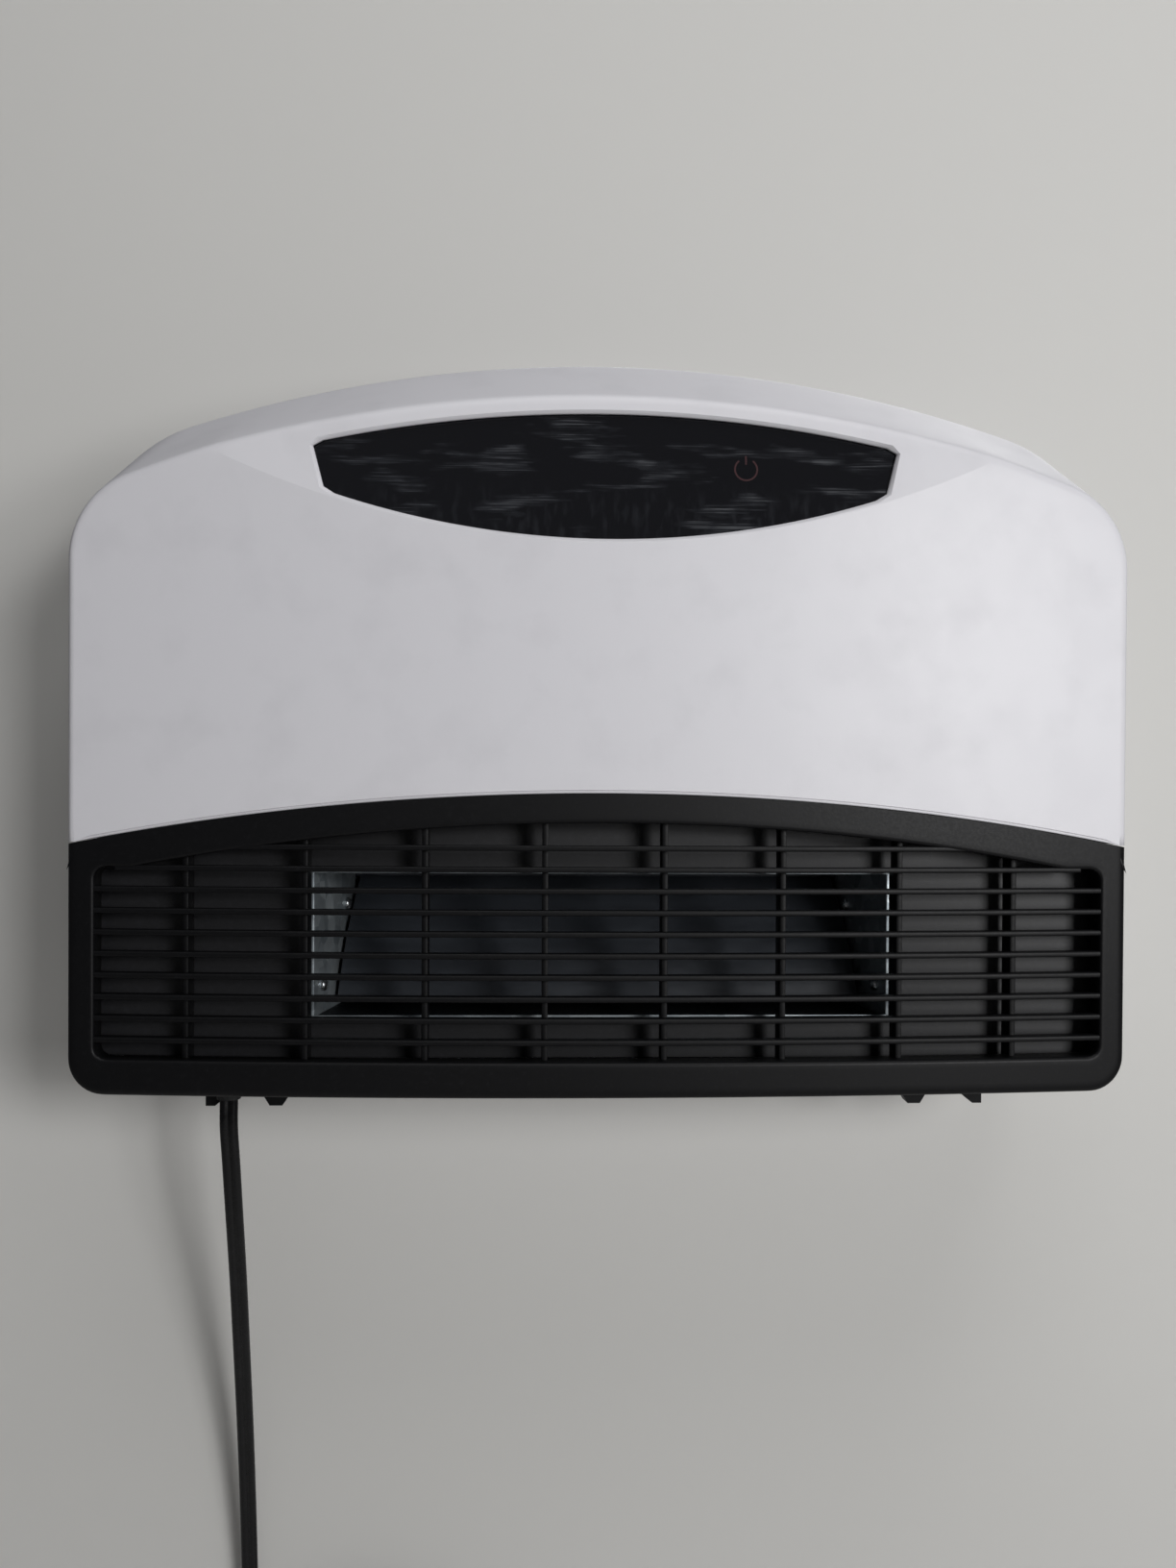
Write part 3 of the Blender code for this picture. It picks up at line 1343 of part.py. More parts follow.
def make_rear_housing():
    top = both_halves(top_half(RIDGE_Z, RIDGE_TOP_RADIUS, RIDGE_SHOULDER_RADIUS))
    bottom = list(reversed(both_halves(bottom_half(BOTTOM_Z, BOTTOM_CORNER_RADIUS))))
    front, back = [], []
    rows = []
    for x, z, nx, nz in top + bottom:
        start = Vector((x, -REAR_SOFTNESS, z))
        corner = Vector((x, 0, z))
        end = Vector((x - nx * REAR_SOFTNESS, 0, z - nz * REAR_SOFTNESS))
        rows.append([Vector((x, SPLIT_Y + GAP, z)), start, *eased(start, corner, end), end])
    bm = bmesh.new()
    grid = [[bm.verts.new(p) for p in row] for row in rows]
    for k, one in enumerate(grid):
        other = grid[(k + 1) % len(grid)]
        for j in range(len(one) - 1):
            bm.faces.new((one[j], other[j], other[j + 1], one[j + 1]))
    bm.faces.new([row[-1] for row in grid])
    housing = add("rear_housing", mesh_of(bm, "rear_housing"), WHITE_PLASTIC)
    thicken(housing, SHELL, -1)
    boolean(housing, "UNION", make_posts())
    boolean(housing, "DIFFERENCE", make_rear_cuts())
    return housing


def make_posts():
    """Posts and pads that stand on the back wall and carry what is inside."""
    group = cutter_group("posts")
    root = -SHELL / 2

    def post(label, x, z, tip_y, radius, sides=12):
        cutter(f"post_{label}", rod_mesh(label, (x, root, z), (x, tip_y, z), radius, sides), group)

    for side in (-1, 1):
        for k, above in enumerate(POST_ABOVE_RECESS_FOOT):
            z = RECESS_BOTTOM_Z + above
            post(f"baffle_{side}_{k}", side * POST_X, z, BAFFLE_BACK_Y + GAP, POST_RADIUS)
        for k, z in enumerate(PAD_Z):
            post(f"duct_{side}_{k}", side * PAD_X, z, SCROLL_BACK_Y + SHEET + GAP, PAD_RADIUS)
        for up in (-1, 1):
            x = POWER_BOARD_X + side * (POWER_BOARD_WIDTH / 2 - BOARD_INSET)
            z = POWER_BOARD_Z + up * (POWER_BOARD_HEIGHT / 2 - BOARD_INSET)
            post(f"board_{side}_{up}", x, z, -SHELL - BOARD_STANDOFF, POST_RADIUS * 0.7)
    return group


def make_rear_cuts():
    """Keyholes, the intake slots along the top, and half of the cord's hole."""
    group = cutter_group("rear_cuts")
    reach = 4 * SHELL
    for side in (-1, 1):
        x = side * KEYHOLE_X
        outline = []
        half = math.asin(KEYHOLE_SLOT_RADIUS / KEYHOLE_HEAD_RADIUS)
        for k in range(13):
            a = math.pi / 2 + half + (2 * math.pi - 2 * half) * k / 12
            outline.append(
                (x + KEYHOLE_HEAD_RADIUS * math.cos(a), KEYHOLE_Z + KEYHOLE_HEAD_RADIUS * math.sin(a))
            )
        for k in range(7):
            a = math.pi * k / 6
            outline.append(
                (
                    x + KEYHOLE_SLOT_RADIUS * math.cos(a),
                    KEYHOLE_Z + KEYHOLE_RISE + KEYHOLE_SLOT_RADIUS * math.sin(a),
                )
            )
        mesh = flat_mesh(f"keyhole_{side}", [outline], FACING_FRONT, -reach, reach)
        cutter(f"keyhole_{side}", mesh, group)
    for k in range(VENT_COUNT):
        x = VENT_PITCH * (k - (VENT_COUNT - 1) / 2)
        wall_z = RIDGE_Z - sag(RIDGE_TOP_RADIUS, x)
        outline = rounded_rectangle(x, VENT_MIDDLE_Y, VENT_WIDTH, VENT_LENGTH, VENT_WIDTH * 0.45, 2)
        mesh = flat_mesh(f"vent_{k + 1}", [outline], FACING_UP, wall_z - reach, wall_z + reach)
        cutter(f"vent_{k + 1}", mesh, group)
    cutter("cord_notch_rear", relief_hole("cord_notch_rear"), group)
    return group


# Stand lugs

def make_lugs():
    top = BOTTOM_Z - GAP
    plate = top - LUG_PLATE
    tip = top - LUG_DROP
    taper = tip + LUG_TAPER
    inner_half, inner_tip = LUG_INNER_WIDTH / 2, LUG_INNER_TIP / 2
    outer = LUG_OUTER_X
    inner_edge = LUG_INNER_X - inner_half
    right = [
        (inner_edge, top),
        (inner_edge, taper),
        (LUG_INNER_X - inner_tip, tip),
        (LUG_INNER_X + inner_tip, tip),
        (LUG_INNER_X + inner_half, taper),
        (LUG_INNER_X + inner_half, plate),
        (outer - LUG_OUTER_WIDTH, plate),
        (outer - LUG_OUTER_WIDTH, taper),
        (outer - LUG_OUTER_TIP, tip),
        (outer, tip),
        (outer, top),
    ]
    low, high = LUG_Y - LUG_THICKNESS / 2, LUG_Y + LUG_THICKNESS / 2
    for name, side in (("stand_lug_right", 1), ("stand_lug_left", -1)):
        outline = [(side * x, z) for x, z in right]
        add(name, flat_mesh(name, [outline], FACING_FRONT, low, high), BLACK_PLASTIC, smooth=False)


# Cord

def relief_loop(size, z):
    width, depth = size
    radius = min(size) * 0.45
    outline = rounded_rectangle(CORD_X, CORD_Y, width, depth, radius, RELIEF_CORNER_STEPS)
    return [(x, y, z) for x, y in outline]


def relief_hole(name):
    """The hole for the strain relief, which the front frame and the rear housing share."""
    width, depth = RELIEF_NECK
    outline = rounded_rectangle(
        CORD_X, CORD_Y, width + 2 * GAP, depth + 2 * GAP, min(RELIEF_NECK) * 0.45, RELIEF_CORNER_STEPS
    )
    return flat_mesh(name, [outline], FACING_UP, BOTTOM_Z - 2 * SHELL, BOTTOM_Z + 2 * SHELL)


def make_strain_relief():
    """A bushing held in the bottom's hole by its flange, with a tapered tail."""
    inside = BOTTOM_Z + SHELL + GAP
    loops = [
        relief_loop(RELIEF_NECK, inside + RELIEF_FLANGE_HEIGHT),
        relief_loop(RELIEF_FLANGE, inside + RELIEF_FLANGE_HEIGHT * 0.7),
        relief_loop(RELIEF_FLANGE, inside),
        relief_loop(RELIEF_NECK, inside),
        relief_loop(RELIEF_NECK, BOTTOM_Z - GAP),
        relief_loop(RELIEF_TAIL, BOTTOM_Z - RELIEF_TAIL_LENGTH),
    ]
    add("strain_relief", loft_mesh("strain_relief", loops), RUBBER)


def smooth_route(points, steps):
    """Points read from a smooth curve that passes through all the given ones."""
    points = [Vector(p) for p in points]
    padded = [2 * points[0] - points[1], *points, 2 * points[-1] - points[-2]]
    route = []
    for a, b, c, d in zip(padded, padded[1:], padded[2:], padded[3:]):
        for k in range(steps):
            t = k / steps
            route.append(
                0.5
                * (
                    2 * b
                    + (c - a) * t
                    + (2 * a - 5 * b + 4 * c - d) * t**2
                    + (3 * b - a - 3 * c + d) * t**3
                )
            )
    return route + [points[-1]]


def tube(name, points, radius, detail, material):
    """A cord as a curve with round section and closed ends."""
    curve = bpy.data.curves.new(name, "CURVE")
    curve.dimensions = "3D"
    curve.bevel_depth = radius
    curve.bevel_resolution = detail
    curve.use_fill_caps = True
    spline = curve.splines.new("POLY")
    spline.points.add(len(points) - 1)
    for point, co in zip(spline.points, points):
        point.co = (*co, 1)
    curve.materials.append(material)
    obj = bpy.data.objects.new(name, curve)
    parts.objects.link(obj)
    return obj


def coil_path():
    """Five turns against the wall: in on the near layer and out again on the other,
    climbing in the half turn where the spiral reverses."""
    middle = COIL_TURNS / 2
    points = []
    start_x = COIL_CENTRE_X - COIL_OUTER_RADIUS
    for share in (1.0, 0.5):
        points.append((start_x, COIL_NEAR_WALL_Y, COIL_CENTRE_Z + CORD_WIDTH * share))
    count = COIL_TURNS * COIL_LOOP_POINTS
    for k in range(count + 1):
        turn = k / COIL_LOOP_POINTS
        radius = COIL_OUTER_RADIUS - COIL_PITCH * min(turn, COIL_TURNS - turn)
        climb = min(1.0, max(0.0, (turn - middle + 0.25) / 0.5))
        climb = climb * climb * (3 - 2 * climb)
        a = math.pi + 2 * math.pi * turn
        points.append(
            (
                COIL_CENTRE_X + radius * math.cos(a),
                COIL_NEAR_WALL_Y + (COIL_OUT_Y - COIL_NEAR_WALL_Y) * climb,
                COIL_CENTRE_Z + radius * math.sin(a),
            )
        )
    for share in (0.35, 0.65, 0.85, 1.0):
        points.append((start_x, COIL_OUT_Y, COIL_CENTRE_Z - COIL_TAIL * share))
    return [Vector(p) for p in points]


def least_gap(points, width):
    """The least gap between stretches of a tube that aren't next to each other."""
    along = [0.0]
    for one, other in zip(points, points[1:]):
        along.append(along[-1] + (other - one).length)
    nearest = math.inf
    for k, one in enumerate(points):
        for j in range(k + 1, len(points)):
            if along[j] - along[k] > 4 * width:
                nearest = min(nearest, (points[j] - one).length)
    return nearest - width, along[-1]


def make_cord():
    relief_end = BOTTOM_Z - RELIEF_TAIL_LENGTH - GAP
    route = [(CORD_X, CORD_Y, relief_end), *CORD_ROUTE]
    route.append((CORD_ROUTE[-1][0], COIL_NEAR_WALL_Y, COIL_CENTRE_Z + CORD_WIDTH + GAP))
    run = smooth_route(route, CORD_STEPS)
    tube("cord_run", run, CORD_WIDTH / 2, 2, CORD_BLACK)
    coil = coil_path()
    tube("cord_coil", coil, CORD_WIDTH / 2, 1, CORD_BLACK)
    gap, coil_length = least_gap(coil, CORD_WIDTH)
    run_length = sum((b - a).length for a, b in zip(run, run[1:]))
    print(f"cord run {run_length:.3f} m, coil {coil_length:.3f} m, least gap {gap * 1000:.2f} mm")

    inner_radius = COIL_OUTER_RADIUS - COIL_PITCH * (COIL_TURNS / 2 - 0.25)
    outer_radius = COIL_OUTER_RADIUS - COIL_PITCH * 0.25
    slope = math.tan(math.pi / COIL_LOOP_POINTS) + COIL_PITCH / (2 * math.pi * inner_radius)
    curve_drop = slope * TIE_WIDTH / 2
    slack = CORD_WIDTH / 2 + TIE_CLEARANCE
    low_z = COIL_CENTRE_Z + inner_radius - slack - curve_drop
    high_z = COIL_CENTRE_Z + outer_radius + slack
    low_y, high_y = COIL_OUT_Y - slack, COIL_NEAR_WALL_Y + slack
    inner = rectangle(low_y, low_z, high_y, high_z)
    wall = TIE_WALL
    centre = ((low_y + high_y) / 2, (low_z + high_z) / 2)
    size = (high_y - low_y + 2 * wall, high_z - low_z + 2 * wall)
    outer = rounded_rectangle(*centre, *size, wall, 2)
    tie = flat_mesh(
        "cord_tie",
        [outer, inner],
        FACING_SIDE,
        COIL_CENTRE_X - TIE_WIDTH / 2,
        COIL_CENTRE_X + TIE_WIDTH / 2,
    )
    add("cord_tie", tie, BLACK_PLASTIC, smooth=False)


def make_plug():
    """A moulded two-blade plug that hangs under the coil: neck, body and blades."""
    x, y = COIL_CENTRE_X - COIL_OUTER_RADIUS, COIL_OUT_Y
    top = COIL_CENTRE_Z - COIL_TAIL - GAP

    def loop(width, depth, z):
        radius = min(width, depth) * 0.4
        outline = rounded_rectangle(x, y, width, depth, radius, 3)
        return [(px, py, z) for px, py in outline]

    neck = CORD_WIDTH * 1.25
    shoulder = top - PLUG_NECK_LENGTH
    face = shoulder - PLUG_LENGTH
    loops = [
        loop(neck, neck * 0.9, top),
        loop(neck * 1.25, neck * 1.1, shoulder),
        loop(PLUG_WIDTH * 0.8, PLUG_THICKNESS * 0.8, shoulder - PLUG_LENGTH * 0.12),
        loop(PLUG_WIDTH * 0.92, PLUG_THICKNESS * 0.86, shoulder - PLUG_LENGTH * 0.5),
        loop(PLUG_WIDTH, PLUG_THICKNESS, shoulder - PLUG_LENGTH * 0.8),
        loop(PLUG_WIDTH, PLUG_THICKNESS, face),
    ]
    add("plug_body", loft_mesh("plug_body", loops), CORD_BLACK)
    for name, side in (("plug_blade_left", -1), ("plug_blade_right", 1)):
        middle_x = x + side * BLADE_SPACING / 2
        low = (middle_x - PRONG_THICKNESS / 2, y - PRONG_WIDTH / 2, face - GAP - PRONG_LENGTH)
        high = (middle_x + PRONG_THICKNESS / 2, y + PRONG_WIDTH / 2, face - GAP)
        soft_block(name, low, high, PRONG_THICKNESS / 5, BRASS)


make_front_cover()
make_window()
make_grille()
make_baffle()
make_duct()
make_flap()
make_fan_wheel()
make_fan_bush()
make_motor()
make_heater()
make_flap_motor()
make_thermal_cutoff()
make_display()
make_power_board()
make_rear_housing()
make_lugs()
make_strain_relief()
make_cord()
make_plug()
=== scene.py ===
# %% [markdown]
# # A wall-mounted fan heater
#
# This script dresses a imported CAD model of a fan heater: a white curved cover with a dark
# display window, a black grille over a sheet-metal duct, and a flat twin cord. Each piece
# that the eye meets first is modelled again with finer curves and soft edges, in the same
# place as its CAD solid. The others keep their solids and get a finish.
#
# Lengths are in metres. The wall is the plane y = 0, the front faces -Y, +Z is up.

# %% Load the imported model
import math
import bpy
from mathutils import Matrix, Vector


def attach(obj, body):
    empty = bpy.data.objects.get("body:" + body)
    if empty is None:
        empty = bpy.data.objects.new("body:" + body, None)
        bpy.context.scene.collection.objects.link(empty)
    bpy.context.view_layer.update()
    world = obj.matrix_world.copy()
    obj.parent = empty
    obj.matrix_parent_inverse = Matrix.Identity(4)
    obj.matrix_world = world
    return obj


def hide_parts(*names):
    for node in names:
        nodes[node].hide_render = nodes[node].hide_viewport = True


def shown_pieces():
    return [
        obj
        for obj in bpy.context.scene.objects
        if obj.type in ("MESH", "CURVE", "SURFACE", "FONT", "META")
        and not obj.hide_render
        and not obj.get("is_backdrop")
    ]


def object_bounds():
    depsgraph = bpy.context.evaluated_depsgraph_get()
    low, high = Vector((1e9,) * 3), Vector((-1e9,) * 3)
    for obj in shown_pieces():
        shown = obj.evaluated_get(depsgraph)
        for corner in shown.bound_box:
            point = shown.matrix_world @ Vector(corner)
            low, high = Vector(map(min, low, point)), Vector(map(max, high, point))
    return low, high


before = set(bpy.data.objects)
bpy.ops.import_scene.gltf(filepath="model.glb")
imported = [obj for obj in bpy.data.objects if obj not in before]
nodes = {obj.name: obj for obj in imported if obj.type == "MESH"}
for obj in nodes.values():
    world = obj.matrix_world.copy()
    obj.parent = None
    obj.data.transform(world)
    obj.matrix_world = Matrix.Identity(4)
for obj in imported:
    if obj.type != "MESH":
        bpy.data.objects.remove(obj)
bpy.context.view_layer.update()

from types import SimpleNamespace

import bmesh
import bpy
from mathutils import Matrix, Vector

# %% [markdown]
# ## Camera
#
# The photograph was taken close up, a little left of the heater's middle and level with the
# grille's top. A camera is a place, a direction and a lens. The wide lens is what makes the
# top rear edge show above the front edge. It looks along +Y, turned a little to the right
# and down, and is rolled by a third of a degree as a hand-held picture is.

# %% Camera
CAMERA_PLACE = (-0.0260, -0.6200, -0.0217)
CAMERA_TURN = math.radians(2.16)
CAMERA_DOWN = math.radians(0.63)
CAMERA_ROLL = math.radians(0.33)
LENS_MM, SENSOR_MM = 29.64, 36.0

camera = bpy.data.objects.new("camera", bpy.data.cameras.new("camera"))
camera.data.lens = LENS_MM
camera.data.sensor_width = SENSOR_MM
turn = Matrix.Rotation(-CAMERA_TURN, 4, "Z")
tilt = Matrix.Rotation(math.pi / 2 - CAMERA_DOWN, 4, "X")
roll = Matrix.Rotation(CAMERA_ROLL, 4, "Z")
camera.matrix_world = Matrix.Translation(CAMERA_PLACE) @ turn @ tilt @ roll
bpy.context.scene.collection.objects.link(camera)
bpy.context.scene.camera = camera
print("camera at", CAMERA_PLACE)

# %% [markdown]
# ## Studio
#
# The heater hangs on a pale wall, with a pale floor far below it. Soft light comes from the
# right, so the body's shadow falls to the left. The wall shows to the camera from its front
# only and throws no light back, so that the heater's back can be looked at too. The world is
# pale where the camera sees it. Reflections see a dimmer room, which keeps black plastic black.

# %% Colours, nodes and objects


def linear(hex_colour):
    """An sRGB hex colour as the linear colour that nodes take."""
    parts = [int(hex_colour[k : k + 2], 16) / 255 for k in (1, 3, 5)]
    return (*[c / 12.92 if c <= 0.04045 else ((c + 0.055) / 1.055) ** 2.4 for c in parts], 1.0)


def add_node(tree, kind, settings=None, inputs=None):
    """Adds a node. An input is a value, a socket, or a node for its first output."""
    made = tree.nodes.new(kind)
    for name, value in (settings or {}).items():
        setattr(made, name, value)
    for name, value in (inputs or {}).items():
        if isinstance(value, bpy.types.Node):
            value = value.outputs[0]
        if isinstance(value, bpy.types.NodeSocket):
            tree.links.new(value, made.inputs[name])
        else:
            made.inputs[name].default_value = value
    return made


def new_material(name, hex_colour, roughness):
    """A material of one colour, with its node tree and its Principled shader."""
    material = bpy.data.materials.new(name)
    material.use_nodes = True
    shader = material.node_tree.nodes["Principled BSDF"]
    shader.inputs["Base Color"].default_value = linear(hex_colour)
    shader.inputs["Roughness"].default_value = roughness
    return material, material.node_tree, shader


def object_from(bm, name):
    """Ends a bmesh as a linked object of this name."""
    mesh = bpy.data.meshes.new(name)
    bm.to_mesh(mesh)
    bm.free()
    made = bpy.data.objects.new(name, mesh)
    bpy.context.scene.collection.objects.link(made)
    return made


print("plain white is", linear("#FFFFFF"))

# %% Wall and floor
WALL_COLOUR, WALL_HALF = "#D7D6D3", 3.0
WALL_PLACE = (0, 0.0006, 0.4)
FLOOR_COLOUR, FLOOR_HALF = "#D6D5D3", 6.0
FLOOR_Z = -0.80
MATT = 0.9


def stage_plane(name, half, place, turn, hex_colour):
    """A large flat sheet that isn't part of the object."""
    bm = bmesh.new()
    bmesh.ops.create_grid(bm, x_segments=1, y_segments=1, size=half)
    bmesh.ops.transform(bm, matrix=Matrix.Translation(place) @ turn, verts=bm.verts)
    sheet = object_from(bm, name)
    material, tree, shader = new_material(name, hex_colour, MATT)
    sheet.data.materials.append(material)
    sheet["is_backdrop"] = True
    return sheet, tree, shader


upright = Matrix.Rotation(math.pi / 2, 4, "X")
wall, wall_tree, paint = stage_plane("wall", WALL_HALF, WALL_PLACE, upright, WALL_COLOUR)
wall.visible_diffuse = False
wall.visible_glossy = False
wall.visible_shadow = False
facing = add_node(wall_tree, "ShaderNodeNewGeometry")
one_sided = add_node(
    wall_tree,
    "ShaderNodeMixShader",
    inputs={
        "Fac": facing.outputs["Backfacing"],
        1: paint,
        2: add_node(wall_tree, "ShaderNodeBsdfTransparent"),
    },
)
wall_tree.links.new(one_sided.outputs[0], wall_tree.nodes["Material Output"].inputs["Surface"])
stage_plane("floor", FLOOR_HALF, (0, 0, FLOOR_Z), Matrix.Identity(4), FLOOR_COLOUR)
print(f"floor {-FLOOR_Z:.2f} m below the heater's middle")

# %% World
BACKGROUND = "ShaderNodeBackground"
SKY_STRENGTH, ROOM_STRENGTH, BACK_STRENGTH = 0.02, 0.15, 0.9
world = bpy.data.worlds.new("studio")
world.use_nodes = True
bpy.context.scene.world = world
sky = world.node_tree
sky_light = sky.nodes["Background"]
sky_light.inputs["Color"].default_value = linear("#F2F4F8")
sky_light.inputs["Strength"].default_value = SKY_STRENGTH
ray = add_node(sky, "ShaderNodeLightPath")
mirrored_ray = add_node(
    sky,
    "ShaderNodeMath",
    {"operation": "MAXIMUM"},
    {0: ray.outputs["Is Glossy Ray"], 1: ray.outputs["Is Transmission Ray"]},
)
room = {"Color": linear("#E8EAEE"), "Strength": ROOM_STRENGTH}
back = {"Color": linear("#E8E8E8"), "Strength": BACK_STRENGTH}
dim_room = add_node(sky, BACKGROUND, inputs=room)
pale_back = add_node(sky, BACKGROUND, inputs=back)
shown = sky_light
for share, other in ((mirrored_ray, dim_room), (ray.outputs["Is Camera Ray"], pale_back)):
    shown = add_node(sky, "ShaderNodeMixShader", inputs={"Fac": share, 1: shown, 2: other})
sky.links.new(shown.outputs[0], sky.nodes["World Output"].inputs["Surface"])

bpy.context.scene.view_settings.view_transform = "Standard"
print("world:", world.name)

# %% Lamps


def soft_lamp(name, place, size, power):
    """A square area lamp of this size and wattage that looks at the heater."""
    lamp = bpy.data.lights.new(name, "AREA")
    lamp.shape = "SQUARE"
    lamp.size = size
    lamp.energy = power
    made = bpy.data.objects.new(name, lamp)
    made.location = place
    made.rotation_euler = (-Vector(place)).to_track_quat("-Z", "Y").to_euler()
    bpy.context.scene.collection.objects.link(made)


soft_lamp("near_light", (0.60, -1.02, 0.02), 0.30, 3.2)
soft_lamp("window_light", (1.0, -2.0, 0.42), 0.50, 15.5)
soft_lamp("ceiling_light", (0.2, -0.8, 1.7), 1.2, 13)
soft_lamp("back_light", (0.6, 1.8, 0.9), 1.4, 16)

# %% [markdown]
# ## Sizes and the outer form
#
# The front is part of a wide upright cylinder. Above an eye-shaped crease it tilts back, and
# the window lies in that tilted face. Behind the front edge the top slopes up to a ridge.
# These few functions give every outline, so that pieces which meet share the same curve.

# %% Sizes
HALF_WIDTH = 0.210
FRONT_DEPTH = 0.120
SIDE_DEPTH = 0.110
SHELL = 0.0022
GAP = 0.0003
SPLIT_Y = -0.074
BOTTOM_Z = -0.150

TOP_Z = 0.1255
TOP_RADIUS = 0.530
SHOULDER_RADIUS = 0.034
RIDGE_Z = TOP_Z + 0.0221
RIDGE_Y = -0.0775
RIDGE_RADIUS = 0.540
RIDGE_SHOULDER = 0.0575
BOTTOM_CORNER = 0.014
SOFTNESS = 0.0030

CREASE_Z = TOP_Z - 0.0589
CREASE_RADIUS = 0.355
TILT = math.tan(math.radians(9))

SEAM_Z = -0.0308
SEAM_RADIUS = 1.078
LIP_HEIGHT = 0.0013
LIP_DEPTH = 0.0005


def sag(radius, x):
    """How far an arc falls away from its apex at x."""
    return radius - math.sqrt(radius**2 - x**2)


BULGE = FRONT_DEPTH - SIDE_DEPTH
FRONT_RADIUS = (HALF_WIDTH**2 + BULGE**2) / (2 * BULGE)


def front_y(x):
    """The curved front's depth at x."""
    return -FRONT_DEPTH + sag(FRONT_RADIUS, x)


def crease_z(x):
    """The crease's height at x."""
    return CREASE_Z + sag(CREASE_RADIUS, abs(x))


def facet_y(x, z):
    """The depth of the tilted face above the crease."""
    return front_y(x) + (z - crease_z(x)) * TILT


def cover_y(x, z):
    """The cover's depth, below the crease or above it."""
    return max(front_y(x), facet_y(x, z))


def seam_z(x):
    """The height of the seam between the white cover and the black frame."""
    return SEAM_Z - sag(SEAM_RADIUS, x)


def edge_inset_z(x):
    """The height of the cover's flat front just inside its soft top edge."""
    return TOP_Z - SOFTNESS - sag(TOP_RADIUS - SOFTNESS, x)


print(f"the front bulges by {BULGE * 1000:.0f} mm on a radius of {FRONT_RADIUS:.2f} m")

# %% Where the crease runs out into the top edge
# The two heights cross once between these places; halving finds the crossing.
low_x, high_x = 0.10, 0.20
for _ in range(40):
    middle = (low_x + high_x) / 2
    if crease_z(middle) < edge_inset_z(middle):
        low_x = middle
    else:
        high_x = middle
CREASE_END_X = low_x
print(f"the crease ends {CREASE_END_X * 1000:.1f} mm from the middle")

# %% [markdown]
# ## How a shell is shaped
#
# A moulded shell is one sheet that follows outlines. A grid from `create_grid` is such a
# sheet: its columns run along an outline and its rows step from one outline to the next.
# Each vertex is then moved to its place, which keeps the faces in clean rows. Grids that
# meet share their edge points, and merging doubles makes them one skin.

# %% Sheets and finished pieces
TINY = 2e-6  # places nearer than this are one place
SHARP_DEGREES = 38


def bend_grid(bm, columns, rows, place):
    """Adds a grid and moves each vertex to place(column, row)."""
    made = bmesh.ops.create_grid(bm, x_segments=columns, y_segments=rows, size=0.5)["verts"]
    for vert in made:
        vert.co = place(round((vert.co.x + 0.5) * columns), round((vert.co.y + 0.5) * rows))


def close_ends(bm):
    """Merges seams, fills open ends and turns the faces outwards."""
    bmesh.ops.remove_doubles(bm, verts=bm.verts, dist=TINY)
    bmesh.ops.holes_fill(bm, edges=[e for e in bm.edges if e.is_boundary])
    bmesh.ops.recalc_face_normals(bm, faces=bm.faces)


def piece_from(bm, name, sharp_degrees=SHARP_DEGREES):
    """Ends a bmesh as an object at the origin, smooth but for its sharp edges."""
    bmesh.ops.remove_doubles(bm, verts=bm.verts, dist=TINY)
    piece = object_from(bm, name)
    piece.data.shade_smooth()
    piece.data.set_sharp_from_angle(angle=math.radians(sharp_degrees))
    return piece


def settle(piece):
    """Applies the piece's modifiers to its mesh."""
    graph = bpy.context.evaluated_depsgraph_get()
    old = piece.data
    piece.data = bpy.data.meshes.new_from_object(piece.evaluated_get(graph))
    piece.data.name = piece.name
    piece.modifiers.clear()
    bpy.data.meshes.remove(old)


def wall_thickness(piece, thickness):
    """Gives an open skin a wall that grows inwards."""
    step = piece.modifiers.new("wall", "SOLIDIFY")
    step.thickness = thickness
    step.offset = -1
    step.use_even_offset = True
    settle(piece)


def cut(piece, tool):
    """Cuts a hole in the piece with a tool, which is then removed."""
    step = piece.modifiers.new("cut", "BOOLEAN")
    step.operation = "DIFFERENCE"
    step.solver = "EXACT"
    step.object = tool
    settle(piece)
    piece.data.set_sharp_from_angle(angle=math.radians(SHARP_DEGREES))
    bpy.data.objects.remove(tool)


# %% Lines that outlines are made of


def eased(before, corner, after, steps):
    """Points of a soft corner, without its two ends."""
    shares = [k / (steps + 1) for k in range(1, steps + 1)]
    return [(1 - t) ** 2 * before + 2 * t * (1 - t) * corner + t**2 * after for t in shares]


def spread(low, high, steps):
    """Evenly spaced values from low to high."""
    return [low + (high - low) * k / steps for k in range(steps + 1)]


def arc(centre, radius, start, end, steps):
    """Points on a circle, from start to end in degrees."""
    middle = Vector(centre)
    angles = [math.radians(a) for a in spread(start, end, steps)]
    return [middle + radius * Vector((math.cos(a), math.sin(a))) for a in angles]


def flipped(points):
    """The same line on the other side, so that it runs on from left to right."""
    return [Vector((-p.x, p.y)) for p in reversed(points)]


print("a quarter of a 10 mm circle:", arc((0, 0), 10, 0, 90, 2))

# %% Outlines of the top
SLIVER = 0.012  # a column as near to the crease's end as this would be a sliver
corner_x = HALF_WIDTH - SHOULDER_RADIUS
meet = math.asin(corner_x / (TOP_RADIUS - SHOULDER_RADIUS))
crease_share = math.asin(CREASE_END_X / (TOP_RADIUS - SOFTNESS)) / meet
ARC_SHARES = [share for share in spread(0, 1, 28) if abs(share - crease_share) > SLIVER]
ARC_SHARES = sorted([*ARC_SHARES, crease_share])
CORNER_SHARES = spread(0, 1, 14)[1:]


